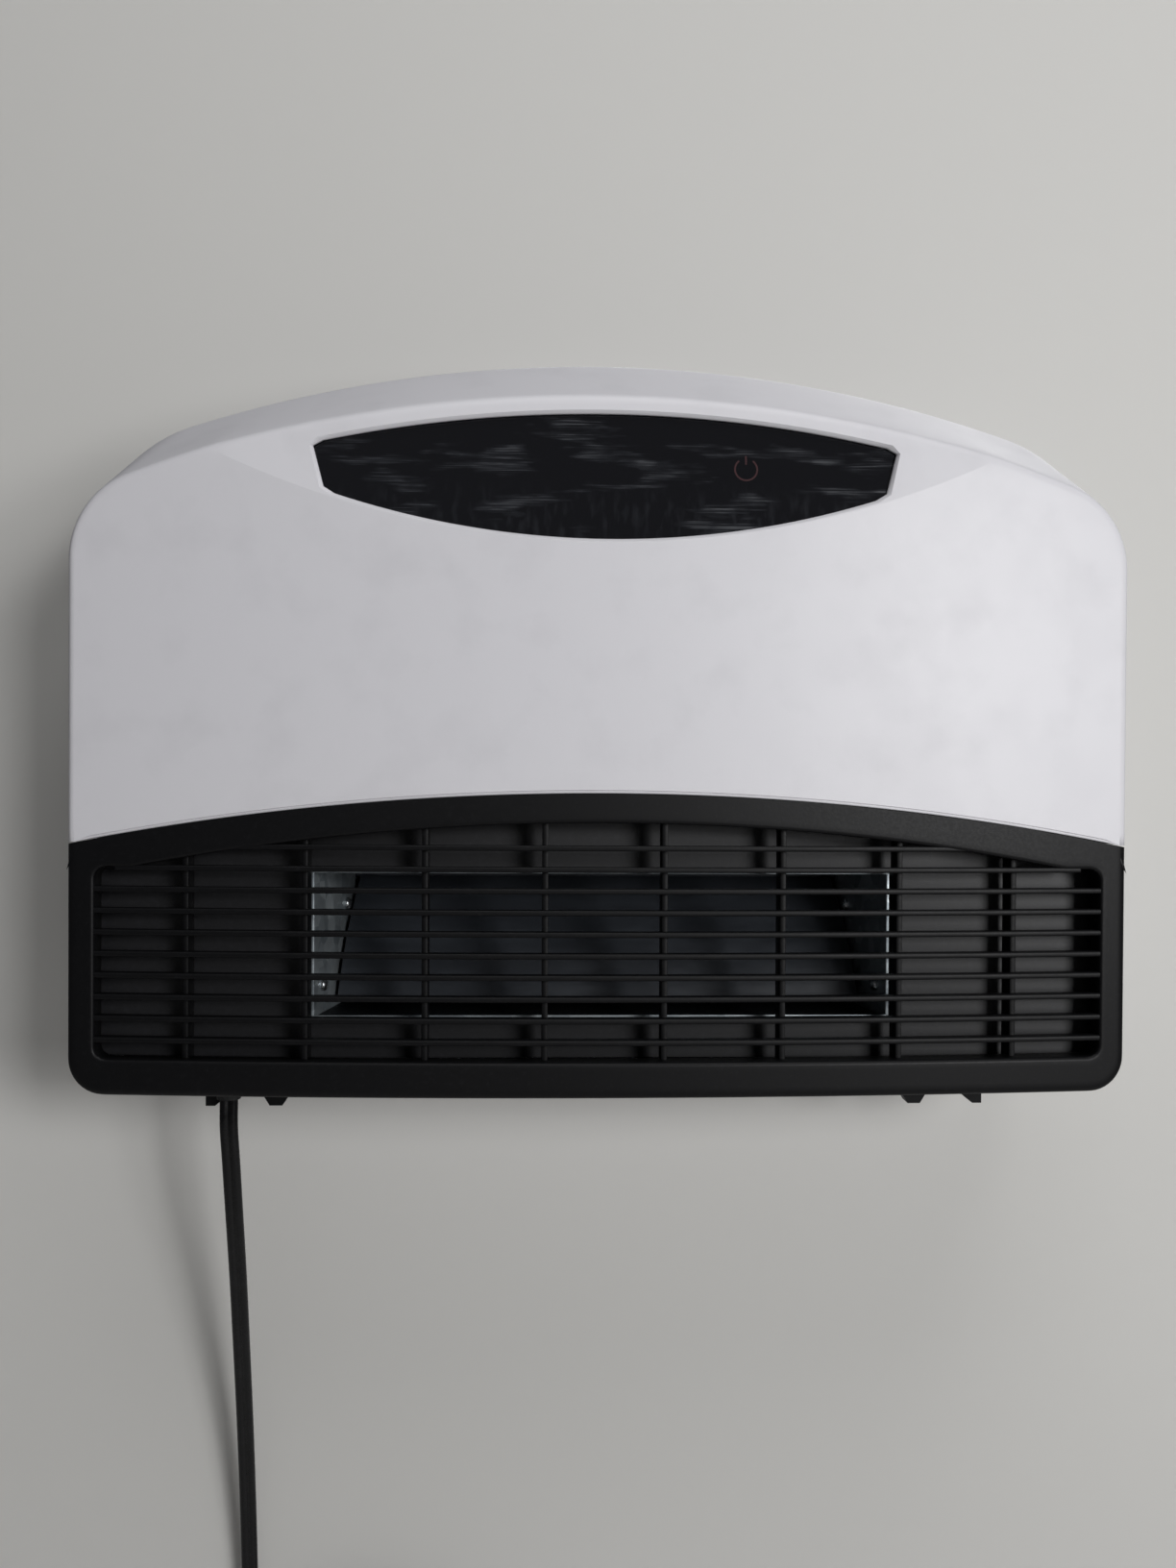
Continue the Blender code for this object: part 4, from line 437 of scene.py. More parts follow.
def top_edge(apex_z, arc_radius, corner_radius, inset=0.0):
    """An arched top with its two shoulders, from left to right: x, z and normal."""
    arc_radius, corner_radius = arc_radius - inset, corner_radius - inset
    centre_z = apex_z - inset - arc_radius
    corner_x = HALF_WIDTH - inset - corner_radius
    corner_z = centre_z + math.sqrt((arc_radius - corner_radius) ** 2 - corner_x**2)
    meet = math.asin(corner_x / (arc_radius - corner_radius))
    half = []
    for share in ARC_SHARES:
        nx, nz = math.sin(meet * share), math.cos(meet * share)
        half.append((arc_radius * nx, centre_z + arc_radius * nz, nx, nz))
    for share in CORNER_SHARES:
        a = meet + (math.pi / 2 - meet) * share
        nx, nz = math.sin(a), math.cos(a)
        half.append((corner_x + corner_radius * nx, corner_z + corner_radius * nz, nx, nz))
    return [(-x, z, -nx, nz) for x, z, nx, nz in reversed(half[1:])] + half


inset_edge = top_edge(TOP_Z, TOP_RADIUS, SHOULDER_RADIUS, SOFTNESS)
outer_edge = top_edge(TOP_Z, TOP_RADIUS, SHOULDER_RADIUS)
ridge_edge = top_edge(RIDGE_Z, RIDGE_RADIUS, RIDGE_SHOULDER)
print(len(inset_edge), "points along the cover's top edge")

# %% [markdown]
# ## Front cover
#
# The cover is an injection-moulded white shell. Its face could be one flat polygon pushed
# into shape, but the crease would then zigzag across the faces. So the face is two grids
# that meet exactly along the crease: one from the seam up to it, and one that runs round
# the window from its lip outwards. A third grid is the soft edge and the sloping top.

# %% Window outline
WINDOW_HALF = 0.1150
WINDOW_FOOT_HALF = 0.1098
WINDOW_TOP_Z = TOP_Z - 0.0069
WINDOW_TOP_RADIUS = 0.500
WINDOW_SIDE = 0.0191
WINDOW_BOTTOM_RADIUS = 0.342
WINDOW_CORNER = 0.0013
WINDOW_CORNER_Z = WINDOW_TOP_Z - sag(WINDOW_TOP_RADIUS, WINDOW_HALF)
WINDOW_FOOT_Z = WINDOW_CORNER_Z - WINDOW_SIDE - sag(WINDOW_BOTTOM_RADIUS, WINDOW_FOOT_HALF)
ARCH_STEPS = 60
CORNER_STEPS = 5


def window_sides(grow):
    """The window's four sides, clockwise as seen from the front, grown by this much."""
    radius = WINDOW_CORNER + max(grow, -0.5 * WINDOW_CORNER)
    half, foot_half = WINDOW_HALF + grow, WINDOW_FOOT_HALF + grow

    def top(x):
        return WINDOW_TOP_Z + grow - sag(WINDOW_TOP_RADIUS + grow, x)

    def foot(x):
        return WINDOW_FOOT_Z - grow + sag(WINDOW_BOTTOM_RADIUS + grow, x)

    reach, foot_reach = half - radius, foot_half - radius
    upper = [Vector((x, top(x))) for x in spread(-reach, reach, ARCH_STEPS)]
    lower = [Vector((x, foot(x))) for x in spread(foot_reach, -foot_reach, ARCH_STEPS)]
    corner, low_corner = Vector((half, top(half))), Vector((foot_half, foot(foot_half)))
    along = (low_corner - corner).normalized()
    start, end = corner + along * radius, low_corner - along * radius
    right = eased(upper[-1], corner, start, CORNER_STEPS) + [start]
    right += [end] + eased(end, low_corner, lower[0], CORNER_STEPS)
    return upper, right, lower, flipped(right)


def evenly(points, count):
    """Points at even steps along a line of points, both ends included."""
    lengths = [0.0]
    for a, b in zip(points, points[1:]):
        lengths.append(lengths[-1] + (b - a).length)
    found, k = [], 0
    for step in range(count + 1):
        want = lengths[-1] * step / count
        while k < len(points) - 2 and lengths[k + 1] < want:
            k += 1
        span = lengths[k + 1] - lengths[k]
        found.append(points[k].lerp(points[k + 1], (want - lengths[k]) / span if span else 0.0))
    return found


window_height = (WINDOW_TOP_Z - WINDOW_FOOT_Z) * 1000
print(f"window {2000 * WINDOW_HALF:.0f} mm wide, {window_height:.0f} mm high in the middle")

# %% The eye round the window
across = [k for k, p in enumerate(inset_edge) if abs(p[0]) <= CREASE_END_X + TINY]
first_eye, last_eye = across[0], across[-1]
EYE_STEPS = last_eye - first_eye
eye_top = [Vector(inset_edge[k][:2]) for k in range(first_eye, last_eye + 1)]
eye_foot = [Vector((p.x, crease_z(p.x))) for p in reversed(eye_top[1:-1])]
eye_foot = [eye_top[-1]] + eye_foot + [eye_top[0]]
eye_loop = eye_top + eye_foot[1:]


def window_loop(grow):
    """The window's outline, with as many points as the eye has, matched side by side."""
    upper, right, lower, left = window_sides(grow)
    half = len(right) // 2
    top = left[half:] + upper + right[:half]
    foot = right[half - 1 :] + lower + left[: half + 1]
    return evenly(top, EYE_STEPS) + evenly(foot, EYE_STEPS)[1:]


# How far each loop of the lip lies outside the window's edge, and how deep.
LIP_ROWS = ((0.0, 0.0025), (0.0, 0.0016), (0.0002, 0.0011), (0.0009, 0.0004), (0.0013, 0.0))
LIP_LOOPS = [(window_loop(grow), depth) for grow, depth in LIP_ROWS]
FACET_ROWS = 10


def eye_point(column, row):
    """Out from the window's inner wall, over its lip, to the crease and the top edge."""
    if row < len(LIP_LOOPS):
        loop, depth = LIP_LOOPS[row]
        x, z = loop[column]
        return x, facet_y(x, z) + depth, z
    share = (row - len(LIP_LOOPS) + 1) / FACET_ROWS
    x, z = LIP_LOOPS[-1][0][column].lerp(eye_loop[column], share)
    return x, facet_y(x, z), z


print(EYE_STEPS, "columns along the crease")

# %% The lower face
LIP_FADE = 0.006
LIP_CORNER = 0.0003
LIP_STEPS = 4
FACE_ROWS = 24


def face_point(column, row):
    """Up the lower face: a short lip above the seam, then evenly to the crease."""
    x, top = inset_edge[column][:2]
    if first_eye < column < last_eye:
        top = crease_z(x)
    seam = seam_z(x)
    side = min(1.0, (HALF_WIDTH - SOFTNESS - abs(x)) / LIP_FADE)
    lip = LIP_DEPTH * side
    low = seam + LIP_HEIGHT * side
    if row > LIP_STEPS:
        z = low + (top - low) * (row - LIP_STEPS) / FACE_ROWS
        return x, cover_y(x, z), z
    z, depth = (
        (seam, SHELL),
        (seam, lip * 1.5),
        (seam + LIP_CORNER * side, lip),
        (seam + (LIP_HEIGHT - LIP_CORNER) * side, lip),
        (low, 0.0),
    )[row]
    return x, front_y(x) + depth, z


print("seam", round((face_point(0, LIP_STEPS)[2] - BOTTOM_Z) * 1000), "mm above the bottom")

# %% The soft edge and the sloping top
SOFT_STEPS = 6
SLOPE_STEPS = 5


def wall_column(inset, outer, ridge):
    """Points from the front face, over the soft edge and the ridge, back to the split."""
    front = Vector((inset[0], cover_y(inset[0], inset[1]), inset[1]))
    corner = Vector((outer[0], cover_y(outer[0], outer[1]), outer[1]))
    back = Vector((ridge[0], RIDGE_Y, ridge[1]))
    along = (back - corner).normalized()
    past_edge, before_ridge = corner + along * SOFTNESS, back - along * SOFTNESS
    past_ridge = back + Vector((0, SOFTNESS, 0))
    points = [front, *eased(front, corner, past_edge, SOFT_STEPS), past_edge]
    points += [past_edge.lerp(before_ridge, k / SLOPE_STEPS) for k in range(1, SLOPE_STEPS)]
    points += [before_ridge, *eased(before_ridge, back, past_ridge, SOFT_STEPS), past_ridge]
    return points + [Vector((ridge[0], SPLIT_Y, ridge[1]))]


def wall_columns():
    """Columns of the cover's wall, from the seam at the left over the top to the right."""
    columns = [wall_column(*row) for row in zip(inset_edge, outer_edge, ridge_edge)]
    for side, column in ((-1, 0), (1, len(inset_edge) - 1)):
        added = []
        for row in range(LIP_STEPS, LIP_STEPS + FACE_ROWS):
            z = face_point(column, row)[2]
            outer = (side * HALF_WIDTH, z)
            added.append(wall_column((side * (HALF_WIDTH - SOFTNESS), z), outer, outer))
        columns = added + columns if side < 0 else columns + added[::-1]
    return columns


side_wall = wall_columns()
print(len(side_wall), "columns round the cover's edge")


def wall_point(column, row):
    """A point of the cover's wall."""
    return side_wall[column][row]


# %% Front cover
bm = bmesh.new()
bend_grid(bm, len(eye_loop) - 1, len(LIP_LOOPS) - 1 + FACET_ROWS, eye_point)
bend_grid(bm, len(inset_edge) - 1, LIP_STEPS + FACE_ROWS, face_point)
bend_grid(bm, len(side_wall) - 1, len(side_wall[0]) - 1, wall_point)
front_cover = piece_from(bm, "cover_skin")
for edge in front_cover.data.edges:
    ends = [front_cover.data.vertices[k].co for k in edge.vertices]
    if all(abs(p.x) <= CREASE_END_X and abs(p.z - crease_z(p.x)) < TINY for p in ends):
        edge.use_edge_sharp = True
wall_thickness(front_cover, SHELL)
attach(front_cover, "housing")
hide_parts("front_cover")
print("front cover:", len(front_cover.data.polygons), "faces")

# %% [markdown]
# ## Rear housing
#
# The rear half is a plain tray behind the cover: the ridge's outline carried back to the
# wall. Only its upper band shows from the front, and from behind it is most of what one
# sees. One grid runs round the outline, its last loop is filled as the back, and the intake
# slots and the keyholes are cut with prisms.

# %% Outline of the whole body
BACK_SOFTNESS = 0.0030
BACK_STEPS = 4
corner_x, corner_z = HALF_WIDTH - BOTTOM_CORNER, BOTTOM_Z + BOTTOM_CORNER
foot = []
for share in reversed(CORNER_SHARES):
    nx, nz = math.sin(math.pi / 2 * share), -math.cos(math.pi / 2 * share)
    foot.append((corner_x + BOTTOM_CORNER * nx, corner_z + BOTTOM_CORNER * nz, nx, nz))
foot += [(x, BOTTOM_Z, 0.0, -1.0) for x in reversed(spread(0, corner_x, 12))]
body_outline = ridge_edge + foot + [(-x, z, -nx, nz) for x, z, nx, nz in reversed(foot[:-1])]
body_outline.append(body_outline[0])
print(len(body_outline), "points round the body")


def housing_point(column, row):
    """Back from the split, over a soft edge, to the flat back."""
    x, z, nx, nz = body_outline[column]
    start, corner = Vector((x, -BACK_SOFTNESS, z)), Vector((x, 0, z))
    end = corner - Vector((nx, 0, nz)) * BACK_SOFTNESS
    soft = eased(start, corner, end, BACK_STEPS)
    return [Vector((x, SPLIT_Y + GAP, z)), start, *soft, end][row]


# %% Tools that cut the openings


def filled_prism(name, outline, to_world, low, high):
    """A flat outline, filled and carried from low to high along its normal."""
    bm = bmesh.new()
    ring = [bm.verts.new((u, v, low)) for u, v in outline]
    face = bm.faces.new(ring)
    made = bmesh.ops.extrude_face_region(bm, geom=[face])["geom"]
    moved = [g for g in made if isinstance(g, bmesh.types.BMVert)]
    bmesh.ops.translate(bm, vec=(0, 0, high - low), verts=moved)
    bmesh.ops.recalc_face_normals(bm, faces=bm.faces)
    bmesh.ops.transform(bm, matrix=to_world, verts=bm.verts)
    return object_from(bm, name)


TOWARDS_FRONT = Matrix(((1, 0, 0), (0, 0, -1), (0, 1, 0))).to_4x4()
UPWARDS = Matrix.Identity(4)
VENTS, VENT_PITCH, VENT_Y = 15, 0.0180, -0.0380
VENT_WIDTH, VENT_LENGTH = 0.0060, 0.0440
VENT_CUT = 0.008
KEYHOLE_X, KEYHOLE_Z = 0.1200, 0.0900
KEYHOLE_HEAD, KEYHOLE_NECK, KEYHOLE_RISE = 0.0048, 0.0024, 0.0110
KEYHOLE_CUT = 0.006


def vent_tool(x):
    """A slot with round ends, upright through the top at x."""
    radius = VENT_WIDTH / 2
    end = arc((0, VENT_LENGTH / 2 - radius), radius, 0, 180, 10)
    outline = [(x + p.x, VENT_Y + p.y) for p in end] + [(x - p.x, VENT_Y - p.y) for p in end]
    top = RIDGE_Z - sag(RIDGE_RADIUS, x)
    return filled_prism("vent", outline, UPWARDS, top - VENT_CUT, top + VENT_CUT)


def keyhole_tool(x):
    """A round hole for a screw's head, with a narrower neck above it."""
    outline = arc((x, KEYHOLE_Z), KEYHOLE_HEAD, 120, 420, 24)
    outline += arc((x, KEYHOLE_Z + KEYHOLE_RISE), KEYHOLE_NECK, 0, 180, 10)
    return filled_prism("keyhole", outline, TOWARDS_FRONT, -KEYHOLE_CUT, KEYHOLE_CUT)


print(VENTS, "vents and 2 keyholes to cut")

# %% Rear housing
bm = bmesh.new()
bend_grid(bm, len(body_outline) - 1, BACK_STEPS + 2, housing_point)
bmesh.ops.remove_doubles(bm, verts=bm.verts, dist=TINY)
rim = [e for e in bm.edges if e.is_boundary and all(abs(v.co.y) < TINY for v in e.verts)]
bmesh.ops.contextual_create(bm, geom=rim)
rear_housing = piece_from(bm, "housing_skin")
wall_thickness(rear_housing, SHELL)
for k in range(VENTS):
    cut(rear_housing, vent_tool(VENT_PITCH * (k - (VENTS - 1) / 2)))
for side in (-1, 1):
    cut(rear_housing, keyhole_tool(side * KEYHOLE_X))
# The back is flat, so its faces are shaded flat right up to the cut edges.
for face in rear_housing.data.polygons:
    if abs(face.normal.y) > 0.999:
        face.use_smooth = False
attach(rear_housing, "housing")
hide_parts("rear_housing")
print("rear housing:", len(rear_housing.data.polygons), "faces")

# %% [markdown]
# ## Grille frame
#
# The black frame is a second moulding below the seam. It is one grid again, round the
# recess: from the back of the recess wall, over its rounded edge, across the face, over the
# outer edge and back along the sides. Both loops are cut into four sides at their corners,
# so that each point inside has its partner outside. Where the seam meets the sides the wall
# thickness would push a few points out of the frame, and these are drawn back to its face.

# %% Loops round the recess and round the frame
RECESS_HALF = 0.1992
RECESS_TOP_Z = SEAM_Z - 0.0116
RECESS_TOP_RADIUS = 0.950
RECESS_SHOULDER_Z = RECESS_TOP_Z - 0.0181
RECESS_BOTTOM_Z = BOTTOM_Z + 0.0142
RECESS_CORNER = 0.0045
RECESS_DEPTH = 0.0085
SEAM_STEPS = 84
SIDE_COUNTS = (200, 64, 200, 64)
# Each corner is cut at its middle, this many steps along its arc, so that the sides of both
# loops meet their partners.
RECESS_CUT, FRAME_CUT = 4, 6


def four_sides(top, right, bottom, left):
    """Evenly stepped points along four sides, as one closed loop."""
    loop = []
    for side, count in zip((top, right, bottom, left), SIDE_COUNTS):
        loop += evenly(side, count)[:-1]
    return loop + [loop[0]]


def recess_loop(grow):
    """The recess's outline, grown by this much, clockwise from its upper left corner."""
    half, radius = RECESS_HALF + grow, RECESS_TOP_RADIUS + grow
    top, shoulder, foot = RECESS_TOP_Z + grow, RECESS_SHOULDER_Z + grow, RECESS_BOTTOM_Z - grow
    corner = RECESS_CORNER + grow
    reach = math.sqrt(radius**2 - (radius - (top - shoulder)) ** 2)
    arch = [Vector((x, top - sag(radius, x))) for x in spread(-reach, reach, ARCH_STEPS)]
    right_up = arc((half - corner, shoulder - corner), corner, 90, 0, 2 * RECESS_CUT)
    right_low = arc((half - corner, foot + corner), corner, 0, -90, 2 * RECESS_CUT)
    left_low, left_up = flipped(right_low), flipped(right_up)
    return four_sides(
        left_up[RECESS_CUT:] + arch + right_up[: RECESS_CUT + 1],
        right_up[RECESS_CUT:] + right_low[: RECESS_CUT + 1],
        right_low[RECESS_CUT:] + left_low[: RECESS_CUT + 1],
        left_low[RECESS_CUT:] + left_up[: RECESS_CUT + 1],
    )


def frame_loop(inset):
    """The frame's outer outline: the seam, the straight sides and the rounded bottom."""
    half, foot = HALF_WIDTH - inset, BOTTOM_Z + inset
    corner = BOTTOM_CORNER - inset
    top = [Vector((x, seam_z(x) - GAP)) for x in spread(-half, half, SEAM_STEPS)]
    right_low = arc((half - corner, foot + corner), corner, 0, -90, 2 * FRAME_CUT)
    left_low = flipped(right_low)
    return four_sides(
        top,
        [top[-1]] + right_low[: FRAME_CUT + 1],
        right_low[FRAME_CUT:] + left_low[: FRAME_CUT + 1],
        left_low[FRAME_CUT:] + [top[0]],
    )


# How far each loop lies outside the recess, and how far behind the face.
RECESS_ROWS = (
    (-0.0002, RECESS_DEPTH),
    (0.0, 0.0014),
    (0.0001, 0.0008),
    (0.0005, 0.0003),
    (0.0010, 0.00006),
    (0.0016, 0.0),
)
recess_loops = [(recess_loop(grow), depth) for grow, depth in RECESS_ROWS]
face_edge, side_edge = frame_loop(SOFTNESS), frame_loop(0.0)
print(len(face_edge) - 1, "points round each loop")

# %% Grille frame
FRAME_ROWS = 6
ROUND_ROWS = 5
FRAME_WALL = 0.0018
SEAM_SOFTNESS = 0.0004
SEAM_WALL = 0.004


def frame_point(column, row):
    """Out from the recess's wall, across the face, over the edge and back."""
    if row < len(recess_loops):
        loop, depth = recess_loops[row]
        x, z = loop[column]
        return x, front_y(x) + depth, z
    row -= len(recess_loops) - 1
    x, z = recess_loops[-1][0][column].lerp(face_edge[column], min(1.0, row / FRAME_ROWS))
    front = Vector((x, front_y(x), z))
    if row <= FRAME_ROWS:
        return front
    top_side = 0 < column < SIDE_COUNTS[0]
    x, z = side_edge[column]
    corner = Vector((x, front_y(x), z))
    past = corner + Vector((0, SEAM_SOFTNESS if top_side else SOFTNESS, 0))
    end = Vector((x, front_y(x) + SEAM_WALL if top_side else SPLIT_Y, z))
    if top_side:
        front = corner
    points = [*eased(front, corner, past, ROUND_ROWS - 2), past, end]
    return points[row - FRAME_ROWS - 1]


bm = bmesh.new()
frame_rows = len(recess_loops) - 1 + FRAME_ROWS + ROUND_ROWS
bend_grid(bm, sum(SIDE_COUNTS), frame_rows, frame_point)
grille_frame = piece_from(bm, "grille_frame_skin")
wall_thickness(grille_frame, FRAME_WALL)
for vertex in grille_frame.data.vertices:
    x = min(max(vertex.co.x, -HALF_WIDTH), HALF_WIDTH)
    y = min(max(vertex.co.y, front_y(x)), SPLIT_Y)
    z = min(max(vertex.co.z, BOTTOM_Z), seam_z(x) - GAP)
    vertex.co = (x, y, z)
print("grille frame:", len(grille_frame.data.polygons), "faces")

# %% [markdown]
# ## Grille bars and ribs
#
# Ten slim bars follow the front's bulge, and upright ribs behind them keep them apart. A
# bar could be a curve with a bevel, but its section isn't round: it is a tall slim bar
# with a rounded nose. A grid whose columns go round that section gives it exactly.

# %% Bars
BARS = 10
BAR_STEPS = 72
BAR_HEIGHT = 0.0022
BAR_DEPTH = 0.0055
BAR_SETBACK = 0.0005
BAR_NOSE = 0.0007
BAR_PITCH = 0.00844
BAR_BACK = 0.82
FIRST_BAR_Z = SEAM_Z - 0.0215
BITE, WALL_BITE = 0.0010, 0.0013  # how far bars and ribs reach into what holds them

# Depth and height round a bar: a rounded nose and a slightly thinner back.
half = BAR_HEIGHT / 2
nose = [(p.x, p.y) for p in arc((BAR_NOSE, half - BAR_NOSE), BAR_NOSE, 180, 90, 4)]
upper = nose + [(BAR_DEPTH, half * BAR_BACK)]
bar_section = upper + [(depth, -height) for depth, height in reversed(upper)] + [upper[0]]


def bar_reach(z):
    """Half the length of the bar at this height, into the recess's wall."""
    if z + BAR_HEIGHT / 2 < RECESS_SHOULDER_Z:
        return RECESS_HALF + WALL_BITE
    radius = RECESS_TOP_RADIUS + BITE
    return math.sqrt(radius**2 - (radius - (RECESS_TOP_Z + BITE - z)) ** 2)


def add_bar(bm, z):
    """Adds the bar at this height; its section is swept along the front's bulge."""
    reach = bar_reach(z)

    def bar_point(column, row):
        x = reach * (2 * row / BAR_STEPS - 1)
        depth, height = bar_section[column]
        return x, front_y(x) + BAR_SETBACK + depth, z + height

    bend_grid(bm, len(bar_section) - 1, BAR_STEPS, bar_point)


bm = bmesh.new()
for k in range(BARS):
    add_bar(bm, FIRST_BAR_Z - BAR_PITCH * k)
close_ends(bm)
grille_bars = piece_from(bm, "grille_bars", 50)
print(BARS, "bars, the first", round(2000 * bar_reach(FIRST_BAR_Z)), "mm long")

# %% Ribs
RIBS, RIB_PITCH = 8, 0.0470
RIB_WIDTH, RIB_DEPTH = 0.0024, 0.0095
RIB_EDGE = 0.0004


def add_box(bm, low, high):
    """Adds a box between two corners."""
    made = bmesh.ops.create_cube(bm, size=1.0)["verts"]
    bmesh.ops.scale(bm, vec=high - low, verts=made)
    bmesh.ops.translate(bm, vec=(low + high) / 2, verts=made)


def soften(bm, edges, width):
    """Rounds the edges of a small part."""
    bmesh.ops.bevel(
        bm,
        geom=edges,
        offset=width,
        offset_type="OFFSET",
        affect="EDGES",
        segments=2,
        profile=0.5,
        material=-1,
    )


bm = bmesh.new()
for k in range(RIBS):
    x = RIB_PITCH * (k - (RIBS - 1) / 2)
    near = front_y(x) + BAR_SETBACK + BAR_DEPTH - BITE
    top = max(RECESS_TOP_Z - sag(RECESS_TOP_RADIUS, x), RECESS_SHOULDER_Z) + BITE
    low = Vector((x - RIB_WIDTH / 2, near, RECESS_BOTTOM_Z - BITE))
    add_box(bm, low, Vector((x + RIB_WIDTH / 2, near + RIB_DEPTH, top)))
soften(bm, [e for e in bm.edges if e.calc_length() > 2 * RIB_DEPTH], RIB_EDGE)
grille_ribs = piece_from(bm, "grille_ribs")

for piece in (grille_frame, grille_bars, grille_ribs):
    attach(piece, "housing")
    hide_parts("grille")
print("bars and ribs:", len(grille_bars.data.polygons) + len(grille_ribs.data.polygons), "faces")

# %% [markdown]
# ## Display window
#
# The window is a glossy dark lens, clipped in behind the cover's lip. A grid stretched
# between its two arcs is enough, for its own edge lies hidden behind the lip. The power
# symbol is a print on its front: a ring with a gap and a short upright bar.

# %% Window lens
LENS_SET = 0.00273
LENS_THICK = 0.0020
LENS_MARGIN = 0.0018
LENS_COLUMNS, LENS_ROWS = 96, 24


def lens_point(column, row):
    """A point of the lens's front, between its lower and its upper arc."""
    up = row / LENS_ROWS
    half = WINDOW_FOOT_HALF + (WINDOW_HALF - WINDOW_FOOT_HALF) * up + LENS_MARGIN
    x = half * (2 * column / LENS_COLUMNS - 1)
    top = WINDOW_TOP_Z + LENS_MARGIN - sag(WINDOW_TOP_RADIUS, x)
    foot = WINDOW_FOOT_Z - LENS_MARGIN + sag(WINDOW_BOTTOM_RADIUS, x)
    z = foot + (top - foot) * up
    return x, facet_y(x, z) + LENS_SET, z


bm = bmesh.new()
bend_grid(bm, LENS_COLUMNS, LENS_ROWS, lens_point)
lens = piece_from(bm, "window_lens")
wall_thickness(lens, LENS_THICK)
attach(lens, "housing")
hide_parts("display_window")
print("window lens:", len(lens.data.polygons), "faces")

# %% Power symbol
SYMBOL_X, SYMBOL_Z = 0.0548, 0.0970
SYMBOL_LINE = 0.0007
RING_RADIUS, RING_GAP, RING_STEPS = 0.0044, 76, 48
STROKE_LOW, STROKE_HIGH, STROKE_STEPS = 0.0019, 0.0055, 4
PRINT_LIFT = 0.00004


def on_lens(x, z):
    """A point a hair in front of the lens."""
    return x, facet_y(x, z) + LENS_SET - PRINT_LIFT, z


def ring_point(column, row):
    """Round the ring, from one side of its gap to the other."""
    a = math.radians(90 - RING_GAP / 2 - (360 - RING_GAP) * column / RING_STEPS)
    radius = RING_RADIUS + SYMBOL_LINE * (row - 0.5)
    return on_lens(SYMBOL_X + radius * math.cos(a), SYMBOL_Z + radius * math.sin(a))


def stroke_point(column, row):
    """Up the short bar in the gap."""
    x = SYMBOL_X + SYMBOL_LINE * (column - 0.5)
    return on_lens(x, SYMBOL_Z + STROKE_LOW + (STROKE_HIGH - STROKE_LOW) * row / STROKE_STEPS)


bm = bmesh.new()
bend_grid(bm, RING_STEPS, 1, ring_point)
bend_grid(bm, 1, STROKE_STEPS, stroke_point)
bmesh.ops.recalc_face_normals(bm, faces=bm.faces)
for face in bm.faces:
    if face.normal.y > 0:
        face.normal_flip()
power_symbol = piece_from(bm, "power_symbol")
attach(power_symbol, "housing")
print("power symbol:", len(power_symbol.data.polygons), "faces")

# %% [markdown]
# ## Air flap
#
# Behind the grille a dark, semi-gloss flap closes the duct. It is one moulded leaf with a
# slight bow, a hinge barrel along its upper edge and a pin at each end. A flat box bent by
# a modifier would do, but a grid that runs round the leaf's section also follows the flare
# of the duct's side plates, so its ends keep an even gap.

# %% Air flap
FLAP_HINGE = Vector((0, -0.0410, -0.0680))
FLAP_EDGE = Vector((0, -0.0735, -0.1185))
FLAP_THICK = 0.0016
FLAP_BOW = 0.0035
FLAP_GAP = 0.0022
FLAP_BARREL, FLAP_PIN = (0.0026, 0.0995), (0.0020, 0.1105)  # radius and half length
LEAF_START = 0.04
LEAF_COLUMNS, LEAF_STEPS = 40, 24
# The duct's right side plate, at its throat and at its mouth.
THROAT_X, THROAT_Y = 0.1075, -0.0450
MOUTH_X, MOUTH_Y = 0.1164, -0.0955
FLARE = (MOUTH_X - THROAT_X) / (THROAT_Y - MOUTH_Y)


def plate_x(y):
    """Where the duct's side plates stand: they flare out towards the front."""
    return THROAT_X + FLARE * max(0.0, THROAT_Y - y)


flap_along = FLAP_EDGE - FLAP_HINGE
flap_across = Vector((0, flap_along.z, -flap_along.y)).normalized()


def flap_middle(share):
    """A point of the leaf's bowed middle line, from the hinge to its edge."""
    return FLAP_HINGE + flap_along * share + flap_across * (FLAP_BOW * 4 * share * (1 - share))


def flap_point(column, row):
    """A point of the flap's leaf; columns run along it and rows round its section."""
    row %= 2 * LEAF_STEPS + 2
    front = row <= LEAF_STEPS
    step = row if front else 2 * LEAF_STEPS - row + 1
    middle = flap_middle(LEAF_START + (1 - LEAF_START) * step / LEAF_STEPS)
    point = middle + flap_across * (FLAP_THICK * (0.5 if front else -0.5))
    x = (plate_x(middle.y) - FLAP_GAP) * (2 * column / LEAF_COLUMNS - 1)
    return x, point.y, point.z


bm = bmesh.new()
lay_down = Matrix.Translation(FLAP_HINGE) @ Matrix.Rotation(math.pi / 2, 4, "Y")
for radius, reach in (FLAP_BARREL, FLAP_PIN):
    made = bmesh.ops.create_cone(
        bm, cap_ends=True, segments=32, radius1=radius, radius2=radius, depth=2 * reach
    )["verts"]
    bmesh.ops.transform(bm, matrix=lay_down, verts=made)
bend_grid(bm, LEAF_COLUMNS, 2 * LEAF_STEPS + 2, flap_point)
close_ends(bm)
air_flap = piece_from(bm, "flap_leaf")
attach(air_flap, "flap")
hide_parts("air_flap")
print("air flap:", len(air_flap.data.polygons), "faces")

# %% [markdown]
# ## Rivets
#
# Two blind rivets on each side plate show through the grille. Their domed heads could be
# cut from spheres, but a real one is flatter with an upright foot, so a half profile is
# turned round its axis.

# %% Rivets
RIVET_PLACES = ((-0.0562, -0.0803), (-0.0862, -0.1106))
RIVET_SINK = 0.0002
